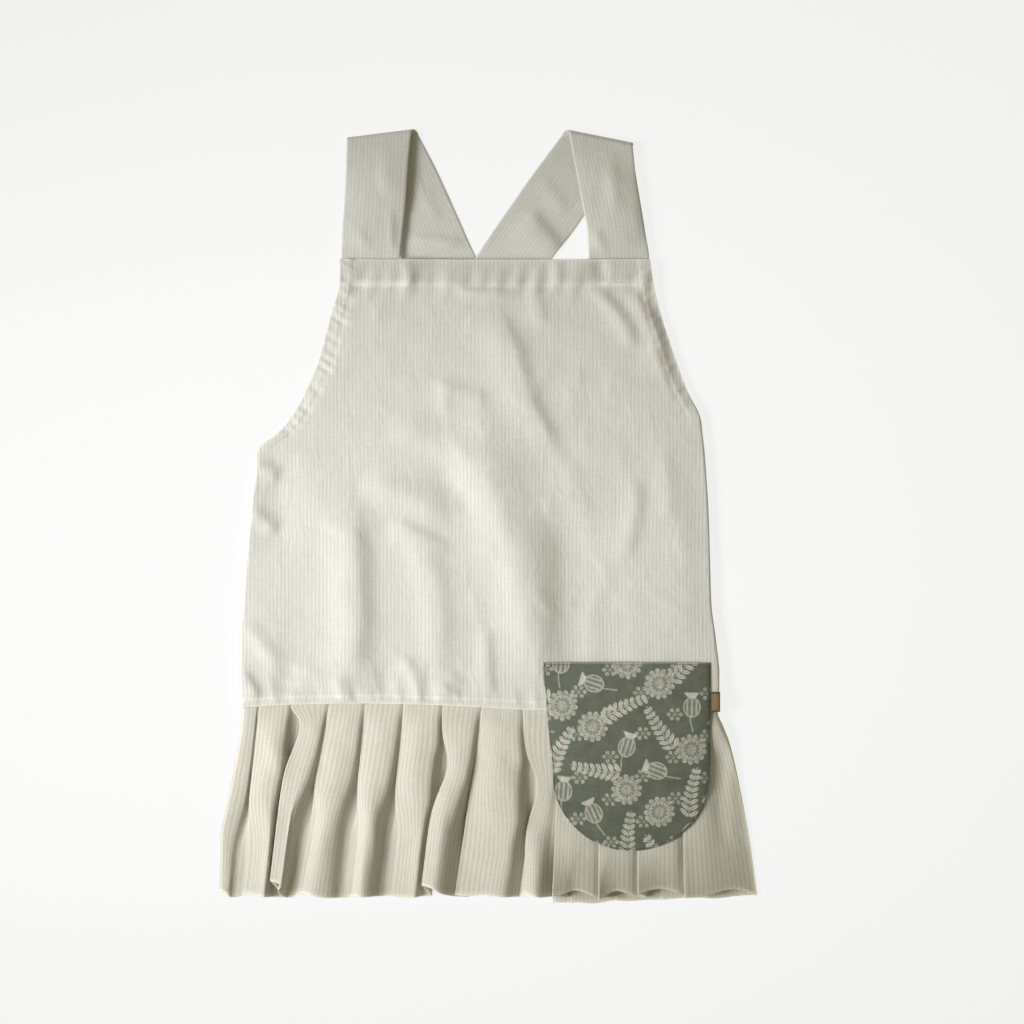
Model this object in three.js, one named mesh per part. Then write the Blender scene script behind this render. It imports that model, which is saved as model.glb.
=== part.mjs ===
// A cross-back apron lying face up: a bib and skirt panel whose sides fold round to two back wings,
// a pleated ruffle round its lower edge, two straps that fold at the shoulder and cross behind the bib,
// and a rounded patch pocket with a small side label.
// Millimetres. X runs across the apron, Y up towards the straps, Z up from the surface that it lies on.
import * as THREE from "three";

// Cloth
const CLOTH = 1.0; // one layer of the striped cotton
const STRAP_CLOTH = 1.4; // a strap is a flat tube of the same cotton, two layers
const LABEL_THICK = 1.2; // a folded tab
const SEAT_GAP = 0.3; // clear space between two pieces that are sewn together
const LAYER = CLOTH + SEAT_GAP; // from the middle of one layer to the next where they are stitched flat

// Panel
const BIB_TOP = 296;
const BACK_HEIGHT = CLOTH / 2; // middle of the cloth of a wing that lies on the surface
const LEFT_FOLD_TOP = 76; // where the left armhole reaches the side fold
const RIGHT_FOLD_TOP = 111;
const WING_TOP = 76; // upper edge of both back wings
const FOLD_START = 40; // the bib's drooping edge turns into the side fold over this length
const EDGE_DROOP = 6; // how far the armhole edge hangs below the bib beside it
const DROOP_REACH = 45;
const TOP_SAG = 3.5; // how far the bib's top edge hangs between the straps
const TOP_SAG_LENGTH = 40;
const TOP_SAG_SPAN = { left: -100, right: 114, ramp: 50 };

// Outline seen from above. Above the fold tops it is the armhole edge, below them the side fold.
const OUTLINE = [
  { y: 296, left: -170, right: 186 },
  { y: 268, left: -171, right: 190 },
  { y: 232, left: -181, right: 199 },
  { y: 180, left: -195, right: 216 },
  { y: 145, left: -210, right: 229 },
  { y: 111, left: -229, right: 245 },
  { y: 94, left: -244, right: 247 },
  { y: 76, left: -266, right: 249 },
  { y: 50, left: -268, right: 251 },
  { y: 0, left: -274, right: 254 },
  { y: -100, left: -282, right: 257 },
  { y: -140, left: -285, right: 262 },
  { y: -182, left: -285, right: 266 },
  { y: -215, left: -285, right: 266 },
  { y: -234, left: -286, right: 272 },
  { y: -250, left: -288, right: 278 },
  { y: -303, left: -297, right: 290 },
  { y: -372, left: -309, right: 302 },
  { y: -432, left: -310, right: 310 },
];

// Height of the panel's cloth above the surface, before its folds.
const PANEL_HEIGHT = [
  { y: 296, z: 9.5 },
  { y: 200, z: 10 },
  { y: 76, z: 10.5 },
  { y: -60, z: 11 },
  { y: -150, z: 13.2 },
  { y: -196, z: 14.8 },
  { y: -240, z: 14.8 },
];

// Free edges of the two back wings, from their upper corner to the ruffle's hem.
const WING_EDGES = [
  { y: 76, left: -85, right: 31 },
  { y: -215, left: -130, right: 65 },
  { y: -440, left: -164, right: 68 },
];

// The ridges that the panel lies in. A ridge runs from its top to its end, drawn towards midX on the
// way; the two reaches say how far its flanks spread to each side. A negative height is a hollow.
const PANEL_FOLDS = [
  { topX: -5, topY: 260, midX: 42, endX: 100, endY: 25, height: 5, leftReach: 34, rightReach: 12 },
  { topX: -2, topY: 75, midX: 28, endX: 45, endY: -196, height: 8, leftReach: 42, rightReach: 13 },
  { topX: -170, topY: 35, midX: -153, endX: -163, endY: -200, height: 6, leftReach: 22, rightReach: 12 },
  { topX: 161, topY: 45, midX: 138, endX: 135, endY: -160, height: 4, leftReach: 18, rightReach: 18 },
  { topX: 203, topY: 100, midX: 222, endX: 228, endY: -160, height: 3, leftReach: 20, rightReach: 16 },
  { topX: -95, topY: 0, midX: -80, endX: -64, endY: -192, height: 3, leftReach: 14, rightReach: 14 },
  { topX: 115, topY: 268, midX: 140, endX: 175, endY: 188, height: 3, leftReach: 10, rightReach: 10 },
  { topX: 175, topY: 268, midX: 192, endX: 208, endY: 195, height: 2.5, leftReach: 10, rightReach: 9 },
  { topX: -243, topY: 72, midX: -250, endX: -254, endY: -40, height: -3, leftReach: 12, rightReach: 14 },
];

// Ruffle
const SEAM_LINE = [
  { x: -290, y: -213 },
  { x: -139, y: -208 },
  { x: -20, y: -215 },
  { x: 270, y: -222 },
];
const SEAM_LAP = 8; // the ruffle's upper edge is tucked this far under the panel
const PLEAT_CLOTH = 80; // length of cloth from one pleat's edge to the next
const FRONT_HEIGHT = 13.5; // middle of the ruffle's outer layer at the seam
const HEM_HEIGHT = 12; // the same at the hem
const CENTRE_SAG = 7; // between the wings nothing lies under the ruffle, so its hem is this much lower
const POP_DEPTH = 2.5; // a pleat that has popped open is this much deeper
const PLEAT_TUCK = 2.5; // a panel is fully under the next pleat this far before that pleat's edge

// Pleats on the front, by the edge that shows: where it leaves the seam, where it meets the hem, how
// high it stands there, and how far it has popped open on the way, at which share of its height.
// The pocket holds the last pleats flat until they are past its lower edge.
const FRONT_PLEATS = [
  { seamX: -262, hemX: -286, hemY: -430, height: 3, pop: 0, popAt: 0.3, freeFrom: 0.05 },
  { seamX: -225, hemX: -250, hemY: -418, height: 12, pop: 13, popAt: 0.17, freeFrom: 0.05 },
  { seamX: -180, hemX: -202, hemY: -426, height: 12, pop: 0, popAt: 0.3, freeFrom: 0.05 },
  { seamX: -139, hemX: -150, hemY: -433, height: 12, pop: 0, popAt: 0.3, freeFrom: 0.05 },
  { seamX: -95, hemX: -120, hemY: -436, height: 9, pop: 0, popAt: 0.3, freeFrom: 0.05 },
  { seamX: -50, hemX: -76, hemY: -424, height: 14, pop: 13, popAt: 0.36, freeFrom: 0.05 },
  { seamX: -5, hemX: -38, hemY: -436, height: 12, pop: 0, popAt: 0.3, freeFrom: 0.05 },
  { seamX: 41, hemX: 43, hemY: -431, height: 12, pop: 15, popAt: 0.44, freeFrom: 0.6 },
  { seamX: 85, hemX: 74, hemY: -435, height: 9, pop: 0, popAt: 0.3, freeFrom: 0.76 },
  { seamX: 129, hemX: 126, hemY: -437, height: 9, pop: 0, popAt: 0.3, freeFrom: 0.76 },
  { seamX: 173, hemX: 166, hemY: -431, height: 9, pop: 0, popAt: 0.3, freeFrom: 0.78 },
  { seamX: 221, hemX: 222, hemY: -437, height: 8, pop: 0, popAt: 0.3, freeFrom: 0.72 },
];
const LAST_WAVE = 7; // the hem arches up once more between the last pleat and the right side fold

// Pleats on the back wings lie pressed flat under the front.
const LEFT_WING_PLEATS = [
  { seamX: -160, hemX: -192 },
  { seamX: -204, hemX: -232 },
  { seamX: -248, hemX: -270 },
];
const RIGHT_WING_PLEATS = [
  { seamX: 236, hemX: 268 },
  { seamX: 192, hemX: 216 },
  { seamX: 147, hemX: 164 },
  { seamX: 102, hemX: 112 },
];
const LEFT_HEM = { fold: -430, back: -436 };
const RIGHT_HEM = { fold: -437, back: -446 };
const VALLEY_HEM = -438; // between two pleats the cloth lies lower, so its hem reaches further down
const WING_OVERLAP = 16;

// Straps. Each runs from under the bib's hem up to the shoulder, turns over on a slanting fold and
// goes down behind, to the wing on the other side. A row is one section: both edges and the height.
const STRAP_TUCK = 27; // the straps reach this far under the bib's hem
const STRAPS = {
  strap_left: {
    front: [
      { leftX: -169, leftY: BIB_TOP - STRAP_TUCK, rightX: -102, rightY: BIB_TOP - STRAP_TUCK, z: 7.9 },
      { leftX: -169, leftY: BIB_TOP, rightX: -102, rightY: BIB_TOP, z: 7.9 },
      { leftX: -168, leftY: 325, rightX: -99, rightY: 325, z: 10 },
      { leftX: -165, leftY: 365, rightX: -95, rightY: 368, z: 10.8 },
      { leftX: -163, leftY: 405, rightX: -92, rightY: 412, z: 11 },
      { leftX: -162, leftY: 431, rightX: -89, rightY: 440.5, z: 11 },
    ],
    back: [
      { leftX: -161, leftY: 431, rightX: -81, rightY: 440.5, z: 0.7 },
      { leftX: -142, leftY: 391, rightX: -58.5, rightY: 397, z: 0.7 },
      { leftX: -117, leftY: 338, rightX: -34.5, rightY: 344, z: 0.7 },
      { leftX: -98, leftY: 293, rightX: -17, rightY: 305, z: 0.7 },
      { leftX: -50, leftY: 206, rightX: 21, rightY: 240, z: 0.7 },
      { leftX: -1, leftY: 128, rightX: 66, rightY: 164, z: 0.7 },
      { leftX: 27, leftY: 84, rightX: 92, rightY: 120, z: 2.1 },
      { leftX: 40, leftY: 64, rightX: 105, rightY: 98, z: 2.1 },
      { leftX: 62, leftY: 25, rightX: 126, rightY: 58, z: 2.1 },
    ],
  },
  strap_right: {
    front: [
      { leftX: 116, leftY: BIB_TOP - STRAP_TUCK, rightX: 185, rightY: BIB_TOP - STRAP_TUCK, z: 7.9 },
      { leftX: 116, leftY: BIB_TOP, rightX: 185, rightY: BIB_TOP, z: 7.9 },
      { leftX: 115, leftY: 326, rightX: 181, rightY: 325, z: 9.8 },
      { leftX: 108, leftY: 365, rightX: 175, rightY: 362, z: 10.6 },
      { leftX: 99, leftY: 412, rightX: 169, rightY: 398, z: 11 },
      { leftX: 94, leftY: 440, rightX: 166, rightY: 425, z: 11 },
    ],
    back: [
      { leftX: 86, leftY: 440, rightX: 165, rightY: 425, z: 0.7 },
      { leftX: 53, leftY: 396, rightX: 133, rightY: 380, z: 0.7 },
      { leftX: 22, leftY: 352, rightX: 97, rightY: 328, z: 0.7 },
      { leftX: -2, leftY: 317, rightX: 72, rightY: 296, z: 2.5 },
      { leftX: -37, leftY: 264, rightX: 31, rightY: 234, z: 2.5 },
      { leftX: -91, leftY: 190, rightX: -28, rightY: 152, z: 2.5 },
      { leftX: -134, leftY: 134, rightX: -72, rightY: 96, z: 2.3 },
      { leftX: -158, leftY: 100, rightX: -94, rightY: 66, z: 2.1 },
      { leftX: -180, leftY: 58, rightX: -116, rightY: 26, z: 2.1 },
    ],
  },
};
const STRAP_STRIPS = 4; // cells across a strap
const STRAP_CROWN = 0.6; // in front of the shoulder the strap's middle stands this much above its edges

// Pocket and label
const POCKET_TOP = -168;
const POCKET_LEFT = 65;
const POCKET_RIGHT = 255;
const POCKET_SIDE_END = -296; // below this the outline is half an ellipse
const POCKET_BOTTOM = -382;
const POCKET_TAPER = 5; // the left side leans in by this much down to the half ellipse
const POCKET_PUFF = 7.5; // how far the pocket stands off the apron at its mouth
const POCKET_SEAT = CLOTH + 2 * SEAT_GAP; // its stitched rim, middle to middle, above the apron's outer layer
const LABEL = { left: 255.8, right: 266.2, top: -202, bottom: -224 };

// Small mathematics
const lerp = THREE.MathUtils.lerp;
const clamp = THREE.MathUtils.clamp;
const smooth = (value, low, high) => THREE.MathUtils.smoothstep(value, low, high);
const bell = (distance, reach) => Math.exp(-((distance / reach) ** 2));
const range = (count) => Array.from({ length: count }, (_, i) => i);

// A column of a table read at a key between its rows, on a smooth curve that never overshoots a row.
function read(table, key, at, column) {
  const rows = table[0][key] < table[table.length - 1][key] ? table : [...table].reverse();
  const last = rows.length - 1;
  const slope = (i) => (rows[i + 1][column] - rows[i][column]) / (rows[i + 1][key] - rows[i][key]);
  const tangent = (i) => {
    if (i === 0) return slope(0);
    if (i === last) return slope(last - 1);
    const [before, after] = [slope(i - 1), slope(i)];
    return before * after <= 0 ? 0 : (2 * before * after) / (before + after);
  };
  const place = clamp(at, rows[0][key], rows[last][key]);
  const i = Math.max(0, Math.min(last - 1, rows.findIndex((row) => row[key] >= place) - 1));
  const step = rows[i + 1][key] - rows[i][key];
  const t = (place - rows[i][key]) / step;
  return (
    rows[i][column] * (1 + 2 * t) * (1 - t) ** 2 +
    tangent(i) * step * t * (1 - t) ** 2 +
    rows[i + 1][column] * t * t * (3 - 2 * t) +
    tangent(i + 1) * step * t * t * (t - 1)
  );
}

const outlineLeft = (y) => read(OUTLINE, "y", y, "left");
const outlineRight = (y) => read(OUTLINE, "y", y, "right");
const seamY = (x) => read(SEAM_LINE, "x", x, "y");

const SHARPEST_MITRE = 0.6; // on a sharp fold the wall's corners reach at most this far out, as 1 / 0.6

// A closed wall of even thickness, mitred at its folds. points[column][row] is the middle of the cloth,
// columns running from left to right and rows downwards, and isCloth says which cells are there.
function clothWall(points, thickness, isCloth = () => true) {
  const rowCount = points[0].length;
  const cells = [];
  const normals = points.map((column) => column.map(() => new THREE.Vector3()));
  const counts = points.map((column) => column.map(() => 0));
  range(points.length - 1).forEach((c) =>
    range(rowCount - 1).forEach((r) => {
      if (!isCloth(c, r)) return;
      const corners = [[c, r], [c, r + 1], [c + 1, r + 1], [c + 1, r]];
      const [a, b, d, e] = corners.map(([i, j]) => points[i][j]);
      const normal = d.clone().sub(a).cross(e.clone().sub(b)).normalize();
      corners.forEach(([i, j]) => {
        normals[i][j].add(normal);
        counts[i][j] += 1;
      });
      cells.push(corners);
    }),
  );

  const positions = [];
  const numbers = new Map();
  const vertex = ([c, r], side) => {
    const key = `${c},${r},${side}`;
    if (!numbers.has(key)) {
      const mitre = Math.max(normals[c][r].length() / counts[c][r], SHARPEST_MITRE);
      const offset = normals[c][r].clone().setLength((side * thickness) / 2 / mitre);
      positions.push(...points[c][r].clone().add(offset).toArray());
      numbers.set(key, numbers.size);
    }
    return numbers.get(key);
  };
  const index = [];
  const quad = (a, b, c, d) => index.push(a, b, c, a, c, d);
  const edges = new Map();
  cells.forEach((corners) => {
    const [a, b, c, d] = corners;
    quad(...[a, b, c, d].map((corner) => vertex(corner, 1)));
    quad(...[a, d, c, b].map((corner) => vertex(corner, -1)));
    corners.forEach((from, i) => {
      const to = corners[(i + 1) % 4];
      if (!edges.delete(`${to}|${from}`)) edges.set(`${from}|${to}`, [from, to]);
    });
  });
  edges.forEach(([from, to]) => quad(vertex(to, 1), vertex(from, 1), vertex(from, -1), vertex(to, -1)));

  const geometry = new THREE.BufferGeometry();
  geometry.setAttribute("position", new THREE.Float32BufferAttribute(positions, 3));
  geometry.setIndex(index);
  geometry.computeVertexNormals();
  return geometry;
}

// Panel: bib, skirt and wings in one piece of cloth

const SEAM = -215; // where the outline's table has the seam; the seam itself waves about it
const PANEL_ROWS = [
  ...[BIB_TOP, 268, 250, 230, 205, 180, 155, 130, RIGHT_FOLD_TOP, 94],
  ...[LEFT_FOLD_TOP, 50, 25, 0, -30, -60, -90, -120, -150, -175, -196, SEAM],
];
const FRONT_COLUMNS = 31;
const FOLD_ANGLES = [0, 45]; // columns on the side fold, from its outermost line up to the front
// Columns of a wing, by the angle that is left of the side fold and the share of the wing's width.
const WING_STATIONS = [
  { angle: 45, along: 0 },
  { angle: 90, along: 0 },
  { angle: 90, along: 0.15 },
  { angle: 90, along: 0.35 },
  { angle: 90, along: 0.65 },
  { angle: 90, along: 1 },
];

function foldHeight(x, y) {
  return PANEL_FOLDS.reduce((sum, fold) => {
    const t = (fold.topY - y) / (fold.topY - fold.endY);
    if (t <= 0 || t >= 1) return sum;
    const crest = (1 - t) ** 2 * fold.topX + 2 * t * (1 - t) * fold.midX + t * t * fold.endX;
    const taper = smooth(t, 0, 0.3) * smooth(1 - t, 0, 0.25);
    return sum + fold.height * taper * bell(x - crest, x < crest ? fold.leftReach : fold.rightReach);
  }, 0);
}

function topSag(x, y) {
  const { left, right, ramp } = TOP_SAG_SPAN;
  const between = smooth(x, left, left + ramp) * smooth(right - x, 0, ramp);
  return TOP_SAG * between * smooth(y, BIB_TOP - TOP_SAG_LENGTH, BIB_TOP);
}

const panelHeight = (x, y) => read(PANEL_HEIGHT, "y", y, "z") + foldHeight(x, y) - topSag(x, y);
const foldRadius = (y) => (read(PANEL_HEIGHT, "y", y, "z") - BACK_HEIGHT) / 2;

// A point of the front. inward is its distance from the outline, on the side that turns under.
function frontPoint(x, y, inward, foldTop) {
  const radius = foldRadius(y);
  const folded = smooth(foldTop + FOLD_START - y, 0, FOLD_START);
  const across = clamp(1 - inward / radius, 0, 1);
  const rolled = radius * (1 - Math.sqrt(1 - across * across));
  const free = smooth(BIB_TOP - y, STRAP_TUCK, STRAP_TUCK + FOLD_START);
  const drooped = EDGE_DROOP * free * smooth(DROOP_REACH - inward, 0, DROOP_REACH);
  return new THREE.Vector3(x, y, panelHeight(x, y) - lerp(drooped, rolled, folded));
}

function frontColumns() {
  const edgeSteps = FOLD_ANGLES.map((angle) => 1 - Math.cos(THREE.MathUtils.degToRad(angle)));
  const place = (y, column) => {
    const radius = foldRadius(y);
    const [left, right] = [outlineLeft(y), outlineRight(y)];
    if (column < edgeSteps.length) return left + radius * edgeSteps[column];
    const fromRight = FRONT_COLUMNS - 1 - column;
    if (fromRight < edgeSteps.length) return right - radius * edgeSteps[fromRight];
    const inner = (column - edgeSteps.length) / (FRONT_COLUMNS - 1 - 2 * edgeSteps.length);
    return lerp(left + radius, right - radius, inner);
  };
  return range(FRONT_COLUMNS).map((column) =>
    PANEL_ROWS.map((rowY) => {
      const x = place(rowY, column);
      const y = rowY === SEAM ? seamY(x) : rowY;
      const [fromLeft, fromRight] = [x - outlineLeft(rowY), outlineRight(rowY) - x];
      return fromLeft < fromRight
        ? frontPoint(x, y, fromLeft, LEFT_FOLD_TOP)
        : frontPoint(x, y, fromRight, RIGHT_FOLD_TOP);
    }),
  );
}

// The columns of one wing, from its side fold to its free edge. inward is +1 on the left, -1 on the right.
function wingColumns(side, inward, foldTop) {
  const outline = side === "left" ? outlineLeft : outlineRight;
  return WING_STATIONS.map(({ angle, along }) =>
    PANEL_ROWS.map((rowY) => {
      const down = clamp((foldTop - rowY) / (foldTop - SEAM), 0, 1);
      const slack = (WING_TOP - foldTop) * smooth(along, 0, 0.3) * (1 - down);
      const radius = foldRadius(rowY);
      const turn = THREE.MathUtils.degToRad(angle);
      const foldX = outline(rowY) + inward * radius * (1 - Math.cos(turn));
      const x = lerp(foldX, read(WING_EDGES, "y", rowY, side), along);
      const y = rowY === SEAM ? seamY(x) : rowY + slack;
      return new THREE.Vector3(x, y, BACK_HEIGHT + radius * (1 - Math.sin(turn)));
    }),
  );
}

function panelGeometry() {
  const left = wingColumns("left", 1, LEFT_FOLD_TOP).reverse();
  const right = wingColumns("right", -1, RIGHT_FOLD_TOP);
  const columns = [...left, ...frontColumns(), ...right];
  const firstFront = left.length;
  const lastFront = firstFront + FRONT_COLUMNS - 1;
  const isCloth = (column, row) => {
    if (column < firstFront) return PANEL_ROWS[row] <= LEFT_FOLD_TOP;
    if (column >= lastFront) return PANEL_ROWS[row] <= RIGHT_FOLD_TOP;
    return true;
  };
  return clothWall(columns, CLOTH, isCloth);
}

// Ruffle: one pleated strip round the panel's lower edge

const LAP_END = 0.045; // share of the ruffle's height that stays inside the panel's lower edge
const LAP_CLEAR = 0.12; // from here on it lies as far out as the panel does
const RUFFLE_ROWS = [0, LAP_END, LAP_CLEAR, 0.2, 0.3, 0.42, 0.58, 0.78, 1];
const HEM = -432;

// The outer layer of the front ruffle, at a share of the way from the seam to the hem.
function ruffleFrontHeight(x, share) {
  const centre = smooth(x, -150, -100) * smooth(70 - x, 0, 50);
  return lerp(FRONT_HEIGHT, HEM_HEIGHT - CENTRE_SAG * centre, smooth(share, 0.3, 1));
}

// 1 where the ruffle is tucked under the panel's edge, 0 where it is clear of it.
const tucked = (share) => 1 - smooth(share, LAP_END, LAP_CLEAR);
const ruffleBackHeight = (share) => BACK_HEIGHT + LAYER * tucked(share);

// Pleat edges at one height of the ruffle. overlap is the cloth hidden under each pleat's edge, found
// from the length of cloth that every pleat has.
function frontPleats(share) {
  const pleats = FRONT_PLEATS.map((pleat) => {
    const rise = pleat.height * smooth(share, pleat.freeFrom, pleat.freeFrom < 0.3 ? 0.75 : 1);
    const popped = pleat.pop * bell(share - pleat.popAt, share < pleat.popAt ? 0.14 : 0.17);
    const line = lerp(pleat.seamX, pleat.hemX, share);
    const edge = line + popped * (1 - tucked(share));
    return { line, edge, popped, rise, hemY: pleat.hemY };
  });
  return pleats.map((pleat, i) => {
    const width = i ? pleat.edge - pleats[i - 1].edge : 0;
    const spare = i ? (PLEAT_CLOTH - width - pleat.rise) / 2 : 18 - 24 * smooth(share, 0.2, 0.9);
    return { ...pleat, overlap: clamp(spare, -8, 20) };
  });
}

// The front's section at one height, from left to right, as x, depth below the outer layer and hem line.
function frontSection(share, left, right) {
  const pleats = frontPleats(share);
  const section = [];
  let start = { x: left, depth: 0, hidden: 0, hemY: LEFT_HEM.fold };
  pleats.forEach(({ line, edge, popped, rise, overlap, hemY }) => {
    const open = Math.min(overlap, 0);
    const opened = clamp(popped / 10, 0, 1);
    const tuckX = lerp(edge + open - PLEAT_TUCK, line + 1.5, opened);
    const low = 2 * LAYER + POP_DEPTH * opened;
    const run = tuckX - start.x;
    const shoulder = lerp(start.depth * 0.45 + low * 0.45, Math.min(start.depth * 0.3, 0), opened);
    section.push({ ...start });
    section.push({
      x: start.x + Math.max(run * 0.3, start.hidden + SEAT_GAP),
      depth: start.depth * 0.95,
      hemY: lerp(start.hemY, VALLEY_HEM, 0.3),
    });
    section.push({
      x: start.x + run * lerp(0.72, 0.9, opened),
      depth: shoulder,
      hemY: lerp(start.hemY, VALLEY_HEM, 0.8),
    });
    section.push({ x: tuckX, depth: low, hemY: VALLEY_HEM });
    section.push({ x: edge + overlap, depth: low, hemY: VALLEY_HEM });
    section.push({
      x: edge + Math.max(overlap, 0) + 0.8 * open,
      depth: low - LAYER - 0.25 * rise * clamp(-overlap / 5, 0, 1),
      hemY: VALLEY_HEM,
    });
    section.push({ x: edge + 0.2 * open, depth: LAYER - rise, hemY });
    start = { x: edge, depth: -rise, hidden: Math.max(overlap, 0), hemY };
  });
  const run = right - start.x;
  const wave = LAST_WAVE * smooth(share, 0.55, 1);
  section.push({ ...start });
  section.push({ x: start.x + run * 0.3, depth: start.depth * 0.6, hemY: start.hemY });
  section.push({ x: start.x + run * 0.62, depth: -wave, hemY: RIGHT_HEM.fold + wave });
  section.push({ x: right, depth: 0, hemY: RIGHT_HEM.fold });
  return section;
}

// A wing's section from its free edge to the side fold on the left, or from the fold to the edge on the
// right: both run towards -X. height is above the lowest layer.
function wingSection(share, pleatTable, { from, to, hemFrom, hemTo }) {
  const section = [];
  const hem = (x) => lerp(hemFrom, hemTo, (x - from) / (to - from));
  let start = { x: from, height: 0 };
  pleatTable.forEach((pleat) => {
    const edge = lerp(pleat.seamX, pleat.hemX, share);
    section.push(start);
    section.push({ x: lerp(start.x, edge, 0.5), height: 0 });
    section.push({ x: edge + PLEAT_TUCK, height: 2 * LAYER });
    section.push({ x: edge - WING_OVERLAP, height: 2 * LAYER });
    section.push({ x: edge - WING_OVERLAP, height: LAYER });
    section.push({ x: edge, height: LAYER });
    start = { x: edge, height: 0 };
  });
  section.push(start);
  section.push({ x: to, height: 0 });
  return section.map((point) => ({ ...point, hemY: hem(point.x) }));
}

// The whole strip at one height: left wing, left fold, front, right fold, right wing.
function ruffleSection(share) {
  const y = lerp(SEAM, HEM, clamp((share - LAP_END) / (1 - LAP_END), 0, 1));
  const left = outlineLeft(y) + LAYER * tucked(share);
  const right = outlineRight(y) - LAYER * tucked(share);
  const back = ruffleBackHeight(share);
  const [leftFront, rightFront] = [left, right].map((x) => ruffleFrontHeight(x, share));
  const [leftRadius, rightRadius] = [leftFront, rightFront].map((front) => (front - back) / 2);
  const wingEdge = (side) => read(WING_EDGES, "y", y, side);

  const point = (x, z, hemY) => {
    const top = seamY(x) + SEAM_LAP;
    return new THREE.Vector3(x, lerp(top, hemY, share), z);
  };
  const arc = (x, radius, inward, hemY, angles) =>
    angles.map((degrees) => {
      const angle = THREE.MathUtils.degToRad(degrees);
      return point(x + inward * radius * (1 - Math.cos(angle)), back + radius * (1 + Math.sin(angle)), hemY);
    });
  const onBack = ({ x, height, hemY }) => point(x, back + height, hemY);
  const onFront = ({ x, depth, hemY }) => point(x, ruffleFrontHeight(x, share) - depth, hemY);
  const leftWing = wingSection(share, LEFT_WING_PLEATS, {
    from: wingEdge("left"),
    to: left + leftRadius,
    hemFrom: LEFT_HEM.back,
    hemTo: LEFT_HEM.fold,
  });
  const rightWing = wingSection(share, RIGHT_WING_PLEATS, {
    from: right - rightRadius,
    to: wingEdge("right"),
    hemFrom: RIGHT_HEM.fold,
    hemTo: RIGHT_HEM.back,
  });
  return [
    ...leftWing.map(onBack),
    ...arc(left, leftRadius, 1, LEFT_HEM.fold, [-45, 0, 45]),
    ...frontSection(share, left + leftRadius, right - rightRadius).map(onFront),
    ...arc(right, rightRadius, -1, RIGHT_HEM.fold, [45, 0, -45]),
    ...rightWing.map(onBack),
  ];
}

function ruffleGeometry() {
  const sections = RUFFLE_ROWS.map(ruffleSection);
  const columns = sections[0].map((_, column) => sections.map((section) => section[column]));
  return clothWall(columns, CLOTH);
}

// Straps

const SHOULDER_ANGLES = [60, 30, 0, -30, -60]; // sections round the shoulder fold

// The sections of one strap in order, with the shoulder fold as a half circle between front and back.
function strapSections({ front, back }) {
  const [top, under] = [front[front.length - 1], back[0]];
  const radius = (top.z - under.z) / 2;
  const foldLine = new THREE.Vector2(top.rightX - top.leftX, top.rightY - top.leftY).normalize();
  const outward = new THREE.Vector2(-foldLine.y, foldLine.x);
  const shoulder = SHOULDER_ANGLES.map((degrees) => {
    const angle = THREE.MathUtils.degToRad(degrees);
    const share = (1 - Math.sin(angle)) / 2;
    const reach = radius * Math.cos(angle);
    return {
      leftX: lerp(top.leftX, under.leftX, share) + outward.x * reach,
      leftY: lerp(top.leftY, under.leftY, share) + outward.y * reach,
      rightX: lerp(top.rightX, under.rightX, share) + outward.x * reach,
      rightY: lerp(top.rightY, under.rightY, share) + outward.y * reach,
      z: under.z + radius * (1 + Math.sin(angle)),
    };
  });
  const crowned = front.map((section) => ({ ...section, crown: section.leftY > BIB_TOP ? STRAP_CROWN : 0 }));
  return [...crowned, ...shoulder, ...back];
}

function strapGeometry(strap) {
  const sections = strapSections(strap);
  const columns = range(STRAP_STRIPS + 1).map((strip) => {
    const across = strip / STRAP_STRIPS;
    return [...sections].reverse().map((section) => {
      return new THREE.Vector3(
        lerp(section.leftX, section.rightX, across),
        lerp(section.leftY, section.rightY, across),
        section.z + (section.crown ?? 0) * 4 * across * (1 - across),
      );
    });
  });
  return clothWall(columns, STRAP_CLOTH);
}

// Pocket and label

const POCKET_COLUMNS = 15;
const POCKET_LINES = 12;

// Middle of the outermost cloth under the pocket: the panel above the seam, the ruffle below it.
function pocketBed(x, y) {
  const share = (seamY(x) + SEAM_LAP - y) / (seamY(x) + SEAM_LAP - HEM);
  const panel = panelHeight(x, Math.max(y, seamY(x)));
  return lerp(panel, ruffleFrontHeight(x, clamp(share, 0, 1)), smooth(share, 0.08, 0.3));
}

function pocketGeometry() {
  const middle = (POCKET_LEFT + POCKET_RIGHT) / 2;
  const half = (POCKET_RIGHT - POCKET_LEFT) / 2;
  const columns = range(POCKET_COLUMNS).map((column) => {
    const angle = Math.PI * (1 - column / (POCKET_COLUMNS - 1));
    const across = Math.cos(angle);
    const bottom = POCKET_SIDE_END - (POCKET_SIDE_END - POCKET_BOTTOM) * Math.sin(angle);
    return range(POCKET_LINES).map((line) => {
      const y = lerp(POCKET_TOP, bottom, line / (POCKET_LINES - 1));
      const down = clamp((POCKET_TOP - y) / (POCKET_TOP - POCKET_SIDE_END), 0, 1);
      const x = middle + half * across + (POCKET_TAPER * down * (1 - across)) / 2;
      const fromBottom = (y - bottom) / (POCKET_TOP - POCKET_BOTTOM);
      const puff = POCKET_PUFF * Math.sqrt(Math.max(0, 1 - across * across)) * smooth(fromBottom, 0, 0.55);
      return new THREE.Vector3(x, y, pocketBed(x, y) + POCKET_SEAT + puff);
    });
  });
  return clothWall(columns, CLOTH);
}

function labelGeometry() {
  const bed = pocketBed(LABEL.left, LABEL.top) + POCKET_SEAT;
  const column = (x) => [LABEL.top, LABEL.bottom].map((y) => new THREE.Vector3(x, y, bed));
  return clothWall([column(LABEL.left), column(LABEL.right)], LABEL_THICK);
}

// Assembly

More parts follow.
